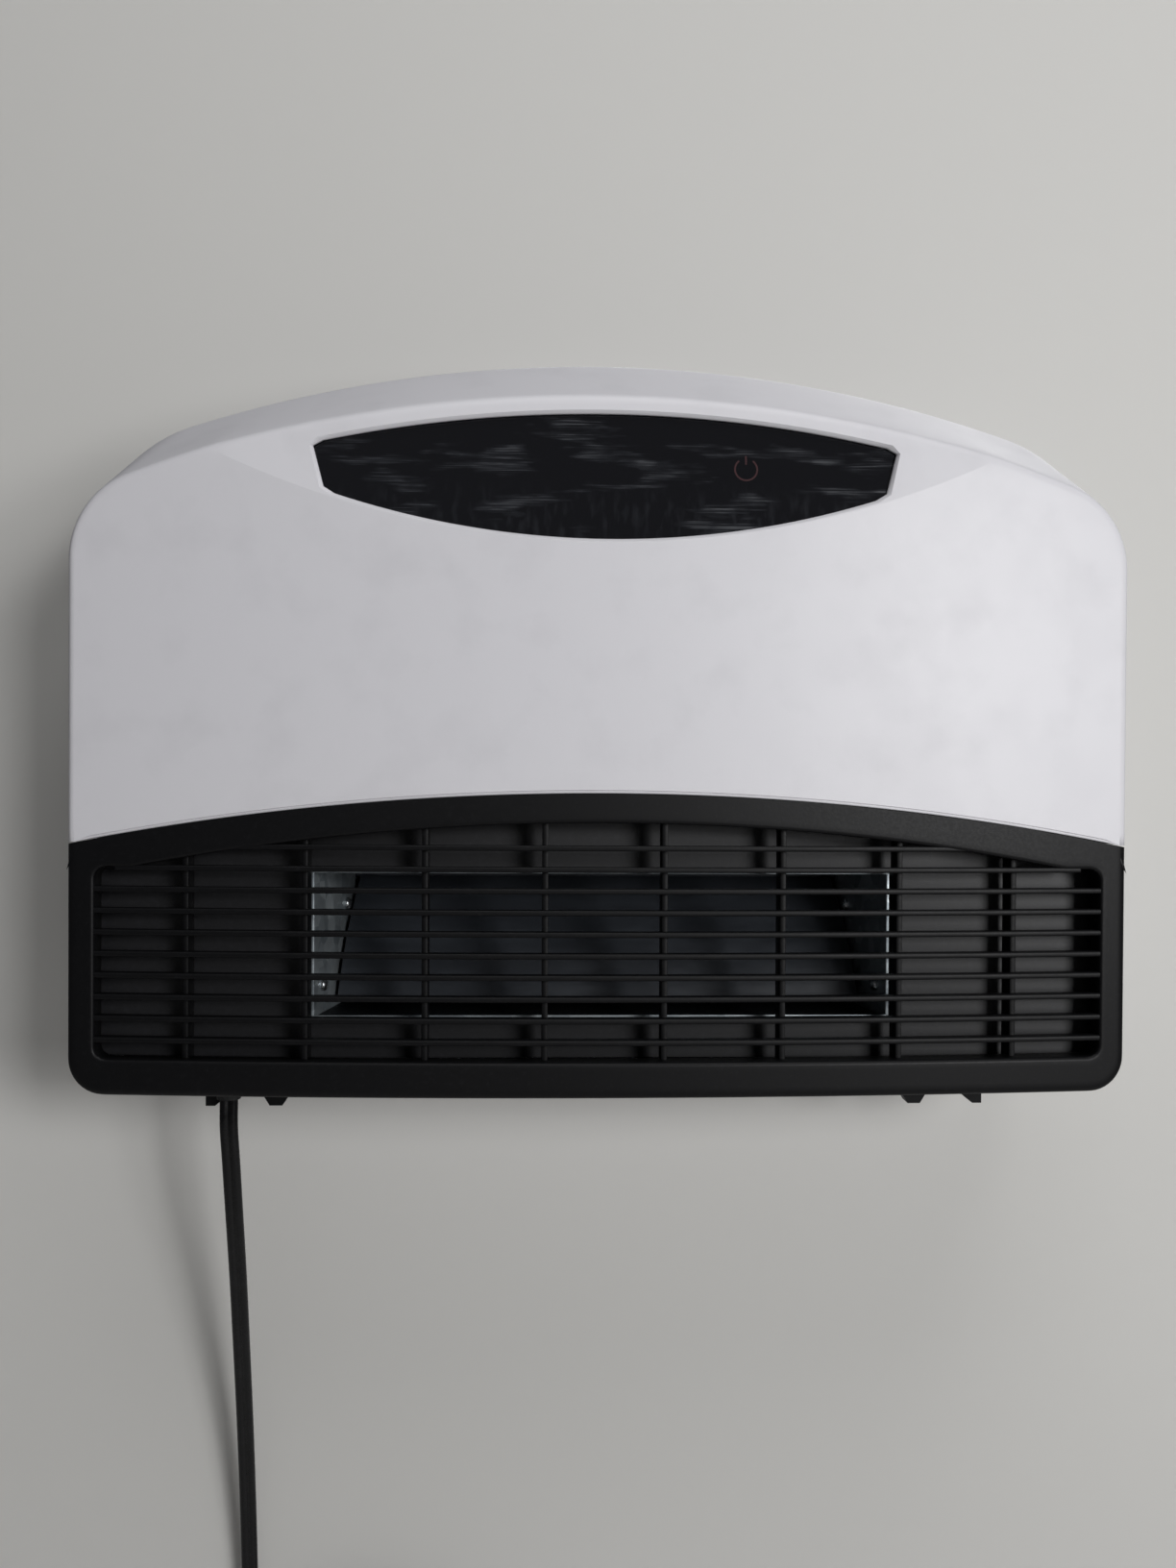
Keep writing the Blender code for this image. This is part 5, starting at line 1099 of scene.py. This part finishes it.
# Radius and height, from the foot to the crown.
RIVET_HEAD = (
    (0.0026, 0.0),
    (0.0026, 0.0012),
    (0.0022, 0.0019),
    (0.0014, 0.0023),
    (0.0007, 0.0025),
    (0.0, 0.0025),
)


def add_rivet(bm, place, inward):
    """Adds a rivet's head at a place, with its axis along a direction."""
    part = bmesh.new()
    chain = [part.verts.new((radius, 0, height)) for radius, height in RIVET_HEAD]
    edges = [part.edges.new(pair) for pair in zip(chain, chain[1:])]
    bmesh.ops.spin(
        part,
        geom=chain + edges,
        cent=(0, 0, 0),
        axis=(0, 0, 1),
        angle=math.tau,
        steps=24,
        use_merge=True,
    )
    close_ends(part)
    stand = Matrix.Translation(place) @ inward.to_track_quat("Z", "Y").to_matrix().to_4x4()
    bmesh.ops.transform(part, matrix=stand, verts=part.verts)
    mesh = bpy.data.meshes.new("rivet")
    part.to_mesh(mesh)
    part.free()
    bm.from_mesh(mesh)
    bpy.data.meshes.remove(mesh)


bm = bmesh.new()
for side in (-1, 1):
    inward = Vector((-side, -FLARE, 0)).normalized()
    for y, z in RIVET_PLACES:
        add_rivet(bm, Vector((side * plate_x(y), y, z)) - inward * RIVET_SINK, inward)
rivets = piece_from(bm, "duct_rivets")
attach(rivets, "housing")
print("rivets:", len(rivets.data.polygons), "faces")

# %% [markdown]
# ### The duct's rim
#
# The sheet metal ends in the baffle's opening, where its cut edges catch the light as thin
# bright lines. Four slim strips, each with soft edges, stand for that folded rim. Cubes that
# are scaled and then bevelled are the shortest way to such strips.

# %% Duct rim
MOUTH_TOP_Z, MOUTH_FLOOR_Z = -0.0637, -0.1221
RIM = 0.0012
RIM_FRONT, RIM_BACK = MOUTH_Y - 0.0008, MOUTH_Y + 0.0004
RIM_EDGE = 0.0003
bm = bmesh.new()
# The lower left and upper right corner of each strip, as x and z.
for low, high in (
    ((-MOUTH_X - RIM, MOUTH_TOP_Z - 0.0002), (MOUTH_X + RIM, MOUTH_TOP_Z + 0.0010)),
    ((-MOUTH_X - RIM, MOUTH_FLOOR_Z - 0.0010), (MOUTH_X + RIM, MOUTH_FLOOR_Z + 0.0006)),
    ((-MOUTH_X - RIM, MOUTH_FLOOR_Z), (-MOUTH_X, MOUTH_TOP_Z)),
    ((MOUTH_X, MOUTH_FLOOR_Z), (MOUTH_X + RIM, MOUTH_TOP_Z)),
):
    low, high = Vector((low[0], RIM_FRONT, low[1])), Vector((high[0], RIM_BACK, high[1]))
    add_box(bm, low, high)
soften(bm, bm.edges[:], RIM_EDGE)
duct_rim = piece_from(bm, "duct_rim")
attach(duct_rim, "housing")
print("duct rim:", len(duct_rim.data.polygons), "faces")

# %% [markdown]
# ## Cord
#
# The supply cord is a flat twin cord. A curve with a round bevel can't give its two lobes
# and the groove between them, so a two-lobed section is swept along the same route as the
# CAD solid's: down the wall from the strain relief, and round five turns of the coil.

# %% Cord route
CORD_START = Vector((-0.1565, -0.0700, -0.1618))
CORD_WIDE, CORD_THICK = 0.0076, 0.0042
COIL_Z = -0.4780
COIL_RADIUS = 0.0456
COIL_TURNS = 5
COIL_PITCH = 0.0082
COIL_TAIL = 0.0450
COIL_LEAD = CORD_WIDE + 0.0003
TURN_STEPS = 60
ROUTE_X = -0.1605
ROUTE_STEPS = 8
LAYER_Y = (-0.0065, -0.0147)
CORD_ROUTE = (
    (-0.1565, -0.0700, -0.1740),
    (-0.1562, -0.0670, -0.1900),
    (-0.1564, -0.0600, -0.2150),
    (-0.1573, -0.0490, -0.2450),
    (-0.1585, -0.0370, -0.2800),
    (-0.1595, -0.0255, -0.3180),
    (-0.1601, -0.0165, -0.3580),
    (-0.1604, -0.0100, -0.4000),
    (-0.1605, -0.0068, -0.4380),
)


def smooth_route(points, steps):
    """A Catmull-Rom line through the points."""
    points = [Vector(p) for p in points]
    ends = [2 * points[0] - points[1], *points, 2 * points[-1] - points[-2]]
    route = []
    for a, b, c, d in zip(ends, ends[1:], ends[2:], ends[3:]):
        for k in range(steps):
            t = k / steps
            bend = (2 * a - 5 * b + 4 * c - d) * t**2 + (3 * b - a - 3 * c + d) * t**3
            route.append(0.5 * (2 * b + (c - a) * t + bend))
    return route + [points[-1]]


def coil_route():
    """Five turns against the wall: in on the near layer and out again on the other."""
    outer = COIL_RADIUS + COIL_PITCH * COIL_TURNS / 4
    centre_x = ROUTE_X + outer
    points = [Vector((ROUTE_X, LAYER_Y[0], COIL_Z + CORD_WIDE * share)) for share in (1.0, 0.5)]
    for k in range(COIL_TURNS * TURN_STEPS + 1):
        turn = k / TURN_STEPS
        radius = outer - COIL_PITCH * min(turn, COIL_TURNS - turn)
        climb = min(1.0, max(0.0, (turn - COIL_TURNS / 2 + 0.25) / 0.5))
        climb = climb * climb * (3 - 2 * climb)
        a = math.pi + math.tau * turn
        y = LAYER_Y[0] + (LAYER_Y[1] - LAYER_Y[0]) * climb
        points.append(Vector((centre_x + radius * math.cos(a), y, COIL_Z + radius * math.sin(a))))
    for share in (0.35, 0.65, 0.85, 1.0):
        points.append(Vector((ROUTE_X, LAYER_Y[1], COIL_Z - COIL_TAIL * share)))
    return points


lead_in = (ROUTE_X, LAYER_Y[0], COIL_Z + COIL_LEAD)
cord_route = smooth_route([CORD_START, *CORD_ROUTE, lead_in], ROUTE_STEPS) + coil_route()
cord_length = sum((b - a).length for a, b in zip(cord_route, cord_route[1:]))
print(f"the cord's route is {cord_length:.3f} m long")

# %% Cord
# The section's two round lobes meet in a shallow groove on each side.
LOBE = CORD_THICK / 2
LOBE_X = CORD_WIDE / 2 - LOBE
right_lobe = [(LOBE_X + p.x, p.y) for p in arc((0, 0), LOBE, 136, -136, 20)]
cord_section = right_lobe + [(-x, -y) for x, y in right_lobe]
cord_section.append(cord_section[0])


def cord_point(column, row):
    """A point of the section, square to the route, its wide side facing the room."""
    here = cord_route[row]
    along = cord_route[min(row + 1, len(cord_route) - 1)] - cord_route[max(row - 1, 0)]
    along.normalize()
    wide = Vector((0, 1, 0)).cross(along).normalized()
    u, v = cord_section[column]
    return here + wide * u + along.cross(wide) * v


bm = bmesh.new()
bend_grid(bm, len(cord_section) - 1, len(cord_route) - 1, cord_point)
close_ends(bm)
cord = piece_from(bm, "twin_cord", 60)
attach(cord, "housing")
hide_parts("cord_run", "cord_coil")
print("cord:", len(cord.data.polygons), "faces")

# %% [markdown]
# ## Finishes
#
# Every finish is procedural. Its patterns are sized in millimetres, from coordinates in the
# object's own space, so a grain is as fine on the cover as on a small part. What changes
# from one material to the next is what the surface was made by: a spark-eroded mould, a
# polished mould, a rolled sheet, a stack of stampings.

# %% A material with its coordinates in millimetres
MATHS, VECTOR_MATHS, REMAP = "ShaderNodeMath", "ShaderNodeVectorMath", "ShaderNodeMapRange"


def new_finish(name, hex_colour, roughness, metallic=0.0, specular=0.5):
    """A Principled material; mm gives the place in millimetres for its patterns."""
    material, tree, shader = new_material(name, hex_colour, roughness)
    shader.inputs["Metallic"].default_value = metallic
    shader.inputs["Specular IOR Level"].default_value = specular
    place = add_node(tree, "ShaderNodeTexCoord").outputs["Object"]
    mm = add_node(tree, VECTOR_MATHS, {"operation": "SCALE"}, {0: place, "Scale": 1000})
    print("finish:", name)
    return SimpleNamespace(material=material, tree=tree, shader=shader, mm=mm, normal=None)


def stretched(look, x, y, z):
    """The place with each axis divided by this many millimetres."""
    inputs = {0: look.mm, 1: (1 / x, 1 / y, 1 / z)}
    return add_node(look.tree, VECTOR_MATHS, {"operation": "MULTIPLY"}, inputs)


def cloud(look, size_mm, detail=3.0, low=0.35, high=0.65, where=None):
    """Soft patches from 0 to 1; low and high set how much they cover and how softly."""
    inputs = {"Vector": where or look.mm, "Scale": 1 / size_mm, "Detail": detail}
    noise = add_node(look.tree, "ShaderNodeTexNoise", inputs=inputs)
    return add_node(look.tree, REMAP, inputs={"Value": noise, "From Min": low, "From Max": high})


def tint(look, factor, hex_low, hex_high):
    """Base colour between two colours, by a factor."""
    mix = add_node(
        look.tree,
        "ShaderNodeMix",
        {"data_type": "RGBA"},
        {0: factor, 6: linear(hex_low), 7: linear(hex_high)},
    )
    look.tree.links.new(mix.outputs[2], look.shader.inputs["Base Color"])


def gloss(look, factor, low, high):
    """Roughness between two values, by a factor."""
    level = add_node(look.tree, REMAP, inputs={"Value": factor, "To Min": low, "To Max": high})
    look.tree.links.new(level.outputs[0], look.shader.inputs["Roughness"])


def relief(look, height, depth_mm):
    """A bump of this depth; each one adds to those before it."""
    inputs = {"Height": height, "Strength": 1.0, "Distance": depth_mm / 1000}
    if look.normal:
        inputs["Normal"] = look.normal
    look.normal = add_node(look.tree, "ShaderNodeBump", inputs=inputs)
    look.tree.links.new(look.normal.outputs[0], look.shader.inputs["Normal"])


WAVE_PITCH = 0.31416  # how far apart the lines of a wave of scale 1 are


def banded(look, pitch_mm):
    """Fine parallel lines from left to right, this far apart, from 0 to 1."""
    wave = add_node(
        look.tree,
        "ShaderNodeTexWave",
        {"wave_type": "BANDS", "bands_direction": "X", "wave_profile": "SIN"},
        {"Vector": look.mm, "Scale": WAVE_PITCH / pitch_mm},
    )
    return wave.outputs[1]


# %% [markdown]
# ### Plastics
#
# The cover is white ABS from a mould whose face was spark eroded to a fine satin grain. Its
# colour is even; only handling leaves slightly duller and faintly grey patches. The black
# frame is the same process in black, so its grain shows as a soft sheen. The window was
# moulded in polished steel and wiped with a cloth, and the cloth's streaks of dust show.
# The parts inside are plainer: filled polyamide, smooth relay cases and a shrunk sleeve.

# %% White ABS cover and housing
# White ABS, injection moulded; the mould's spark-eroded face leaves a satin grain. Handling
# has left faint patches, a trace duller and greyer, which show where the light glances off.
white_abs = new_finish("white_abs_satin", "#DDDCE1", 0.42)
handled = cloud(white_abs, 24.0, 4.0, 0.50, 0.72)
tint(white_abs, handled, "#DDDCE1", "#D8D7DC")
gloss(white_abs, cloud(white_abs, 18.0, 4.0, 0.44, 0.66), 0.425, 0.465)
relief(white_abs, cloud(white_abs, 0.35, 2.0), 0.006)

# %% Black ABS frame, bars and ribs
# Black ABS, injection moulded in a spark-eroded mould, with a thin film of house dust.
black_abs = new_finish("black_abs_satin", "#09090B", 0.46, specular=0.20)
dusty = cloud(black_abs, 1.6, 5.0, 0.56, 0.80)
tint(black_abs, dusty, "#08080A", "#131315")
gloss(black_abs, cloud(black_abs, 1.2, 2.0), 0.44, 0.49)
relief(black_abs, cloud(black_abs, 0.4, 2.0), 0.008)

# %% Baffle
# Black polypropylene sheet with a dull skin, a little greyer than the frame in front of it.
baffle_sheet = new_finish("black_polypropylene", "#17171A", 0.50)
tint(baffle_sheet, cloud(baffle_sheet, 2.4, 5.0, 0.50, 0.80), "#161619", "#202024")
relief(baffle_sheet, cloud(baffle_sheet, 0.5, 2.0), 0.010)

# %% Window
# Dark tinted acrylic from a polished mould; a wiping cloth has left streaks of dust.
# The fine lines of the cloth show within its broad swipes, and upright smears low down.
acrylic = new_finish("dark_acrylic_wiped", "#0C0D10", 0.06)
cloth_lines = cloud(acrylic, 1.0, 2.0, 0.36, 0.66, stretched(acrylic, 24.0, 8.0, 0.5))
swipes = cloud(acrylic, 1.0, 3.0, 0.56, 0.68, stretched(acrylic, 30.0, 20.0, 6.5))
smears = cloud(acrylic, 1.0, 3.0, 0.50, 0.70, stretched(acrylic, 3.2, 20.0, 10.0))
height = add_node(acrylic.tree, "ShaderNodeSeparateXYZ", inputs={0: acrylic.mm}).outputs["Z"]
fade = {"Value": height, "From Min": 92, "From Max": 80, "To Max": 0.28}
low_down = add_node(acrylic.tree, REMAP, inputs=fade)
wiped = add_node(acrylic.tree, MATHS, {"operation": "MULTIPLY"}, {0: swipes, 1: cloth_lines})
smeared = add_node(acrylic.tree, MATHS, {"operation": "MULTIPLY"}, {0: smears, 1: low_down})
film = add_node(acrylic.tree, MATHS, {"operation": "MAXIMUM"}, {0: wiped, 1: smeared})
tint(acrylic, film, "#0E0E12", "#303237")
gloss(acrylic, film, 0.07, 0.40)

# %% Power symbol
# Dark red ink, screen printed on the front of the window; it is lit from behind when on.
symbol_ink = new_finish("symbol_ink_unlit", "#36191C", 0.30)
tint(symbol_ink, cloud(symbol_ink, 0.8), "#32181B", "#3B1B1F")

# %% Air flap
# Black ABS from a polished mould; heat and dust have turned it to a grey semi-gloss.
flap_abs = new_finish("black_abs_semi_gloss", "#32353A", 0.34)
flap_dust = cloud(flap_abs, 1.0, 4.0, 0.45, 0.80, stretched(flap_abs, 30.0, 12.0, 9.0))
tint(flap_abs, flap_dust, "#303338", "#3C4046")
gloss(flap_abs, flap_dust, 0.30, 0.42)

# %% Grey polyamide inside
# Glass-filled grey polyamide, moulded; it stands the heat and has a dull, fibrous skin.
grey_nylon = new_finish("grey_nylon_filled", "#6E7073", 0.55)
tint(grey_nylon, cloud(grey_nylon, 1.2, 4.0), "#6A6C6F", "#777A7D")
relief(grey_nylon, cloud(grey_nylon, 0.5, 3.0), 0.012)

# %% Blue relay cases
# Blue epoxy-sealed relay cases, moulded smooth.
relay_case = new_finish("blue_relay_case", "#2C5DA8", 0.34)
tint(relay_case, cloud(relay_case, 3.0), "#2A59A2", "#3163AF")

# %% Capacitor sleeve
# Black heat-shrunk sleeve, thin and slightly glossy.
cap_sleeve = new_finish("black_shrink_sleeve", "#151517", 0.28)
gloss(cap_sleeve, cloud(cap_sleeve, 2.0), 0.22, 0.34)

# %% [markdown]
# ### Cord and rubber
#
# The cord's sheath is soft black PVC, extruded, so it has a semi-gloss skin with a faint
# waviness. A bump a few millimetres across gives that without more faces on a piece that
# has many. The strain relief is black rubber with a matt skin.

# %% Cord sheath and plug
# Black PVC, extruded over two wires; handling has dulled it in places.
cord_pvc = new_finish("black_pvc_sheath", "#09090B", 0.26, specular=0.30)
tint(cord_pvc, cloud(cord_pvc, 6.0, 4.0, 0.5, 0.8), "#08080A", "#121214")
gloss(cord_pvc, cloud(cord_pvc, 4.0), 0.20, 0.32)
relief(cord_pvc, cloud(cord_pvc, 3.0, 2.0), 0.03)

# %% Strain relief and bushings
# Black rubber, compression moulded, matt.
black_rubber = new_finish("black_rubber", "#0C0C0D", 0.66)
tint(black_rubber, cloud(black_rubber, 2.0), "#0B0B0C", "#131314")
relief(black_rubber, cloud(black_rubber, 0.3), 0.01)

# %% [markdown]
# ### Metals
#
# The duct is folded from hot-dip galvanised sheet: zinc freezes in flat crystals, the
# spangle, and each has its own tone. The motor's core is a stack of stamped sheets, so it
# shows fine lines; its coil is enamelled copper wire, wound side by side.

# %% Galvanised duct
# Hot-dip galvanised steel sheet, folded. The zinc's crystals show as spangle, under a thin
# white film of oxide that makes the metal half dull.
galvanised = new_finish("galvanised_sheet", "#A9B1B6", 0.50, metallic=0.72)
crystals = add_node(
    galvanised.tree,
    "ShaderNodeTexVoronoi",
    {"feature": "F1"},
    {"Vector": galvanised.mm, "Scale": 1 / 7.0, "Randomness": 1.0},
)
crystal = {0: crystals.outputs["Color"]}
tones = add_node(galvanised.tree, "ShaderNodeSeparateColor", inputs=crystal).outputs
tint(galvanised, tones[0], "#98A1A7", "#BDC5C9")
gloss(galvanised, tones[1], 0.42, 0.60)
relief(galvanised, cloud(galvanised, 1.2, 4.0), 0.01)

# %% Rivets
# Aluminium blind rivets, drawn smooth and slightly dulled.
rivet_metal = new_finish("aluminium_rivet", "#C6C9CB", 0.30, metallic=1.0)
gloss(rivet_metal, cloud(rivet_metal, 0.6), 0.22, 0.40)

# %% Motor steel
# Stamped silicon steel, stacked: 0.5 mm sheets with a thin grey oxide.
stack_steel = new_finish("stacked_steel", "#84868A", 0.42, metallic=1.0)
sheets = banded(stack_steel, 0.5)
tint(stack_steel, sheets, "#5E6064", "#919398")
relief(stack_steel, sheets, 0.05)

# %% Dark steel, and painted shade on the duct's scroll
# Blackened steel of the transformer's shell, slightly rough. The duct's scroll is plain
# galvanised sheet; this dark finish on it is painted shade, for the shade deep inside the duct.
dark_steel_and_painted_shade = new_finish("blackened_steel", "#2B2C2F", 0.50, metallic=1.0)
gloss(dark_steel_and_painted_shade, cloud(dark_steel_and_painted_shade, 2.5, 4.0), 0.42, 0.60)

# %% Copper coil
# Enamelled copper wire, 0.4 mm thick, wound side by side under clear varnish. The colour is
# darker in the grooves between wires and lighter on their crowns: painted shade and highlight.
coil_copper = new_finish("enamelled_copper", "#B0632F", 0.30, metallic=1.0)
wire_bumps_and_painted_shade = banded(coil_copper, 0.4)
tint(coil_copper, wire_bumps_and_painted_shade, "#7E3F1A", "#C27540")
relief(coil_copper, wire_bumps_and_painted_shade, 0.10)

# %% Brass
# Drawn and stamped brass of the plug's blades and the bearings.
drawn_brass = new_finish("drawn_brass", "#C9A85A", 0.28, metallic=1.0)
drawn_lines = cloud(drawn_brass, 1.0, 4.0, 0.3, 0.7, stretched(drawn_brass, 4.0, 4.0, 0.3))
gloss(drawn_brass, drawn_lines, 0.20, 0.38)

# %% Heater fins
# Aluminium fins, 1.4 mm apart, brazed to the heating element's ceramic bars. The dark bands
# between them are painted shade in the gaps; the same bands give the fins' bumps.
fin_metal = new_finish("aluminium_fins", "#C2C5C8", 0.38, metallic=1.0)
fin_bumps_and_gap_shade = banded(fin_metal, 1.4)
tint(fin_metal, fin_bumps_and_gap_shade, "#55585B", "#C9CCCE")
relief(fin_metal, fin_bumps_and_gap_shade, 0.4)

# %% [markdown]
# ### Circuit boards
#
# A board is a plain slab with a lacquer over its copper tracks. Modelled tracks would be
# lost in the dark, so the borders between the cells of a Voronoi pattern stand for them.

# %% Circuit boards
# Green solder mask over glass-fibre board. The tracks show as lighter lines, a hair below
# the lacquer round them.
board_mask = new_finish("green_solder_mask", "#1F5B3A", 0.26)
tracks = add_node(
    board_mask.tree,
    "ShaderNodeTexVoronoi",
    {"feature": "DISTANCE_TO_EDGE"},
    {"Vector": board_mask.mm, "Scale": 1 / 4.0, "Randomness": 0.35},
)
edges = {"Value": tracks.outputs["Distance"], "From Min": 0.05, "From Max": 0.10}
track_level = add_node(board_mask.tree, REMAP, inputs=edges)
tint(board_mask, track_level, "#2F7A4D", "#1B5234")
relief(board_mask, track_level, 0.03)

# %% [markdown]
# ## Which piece gets which finish
#
# The rows follow the order of the finishes above, and name pieces modelled here as well as
# CAD solids that stay. The touch pad is a metal film, and the fan wheel and the heater's
# end caps share the grey moulding.

# %% Put the finishes on
FINISHES = (
    (white_abs, "cover_skin housing_skin"),
    (black_abs, "grille_frame_skin grille_bars grille_ribs"),
    (black_abs, "stand_lug_left stand_lug_right cord_tie"),
    (baffle_sheet, "baffle"),
    (acrylic, "window_lens remote_receiver"),
    (symbol_ink, "power_symbol"),
    (flap_abs, "flap_leaf"),
    (grey_nylon, "fan_wheel heater_end_left heater_end_right display_module terminal_block"),
    (relay_case, "relay_left relay_right"),
    (cap_sleeve, "capacitor"),
    (cord_pvc, "twin_cord plug_body"),
    (black_rubber, "strain_relief fan_bush"),
    (galvanised, "duct_side_left duct_side_right duct_roof duct_rim"),
    (galvanised, "motor_bracket_inner motor_bracket_outer"),
    (rivet_metal, "duct_rivets"),
    (stack_steel, "motor_stack motor_rotor flap_motor"),
    # The scroll is galvanised too; its dark finish is painted shade.
    (dark_steel_and_painted_shade, "transformer duct_scroll"),
    (coil_copper, "motor_coil"),
    (drawn_brass, "motor_bearing_inner motor_bearing_outer"),
    (drawn_brass, "touch_pad plug_blade_left plug_blade_right"),
    (fin_metal, "heating_element thermal_cutoff"),
    (board_mask, "display_board power_board"),
)
for look, names in FINISHES:
    for name in names.split():
        piece = nodes.get(name) or bpy.data.objects[name]
        piece.data.materials.clear()
        piece.data.materials.append(look.material)
bare = [o.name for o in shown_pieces() if not o.data.materials]
print("pieces without a finish:", bare)

# %% The object's size
low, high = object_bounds()
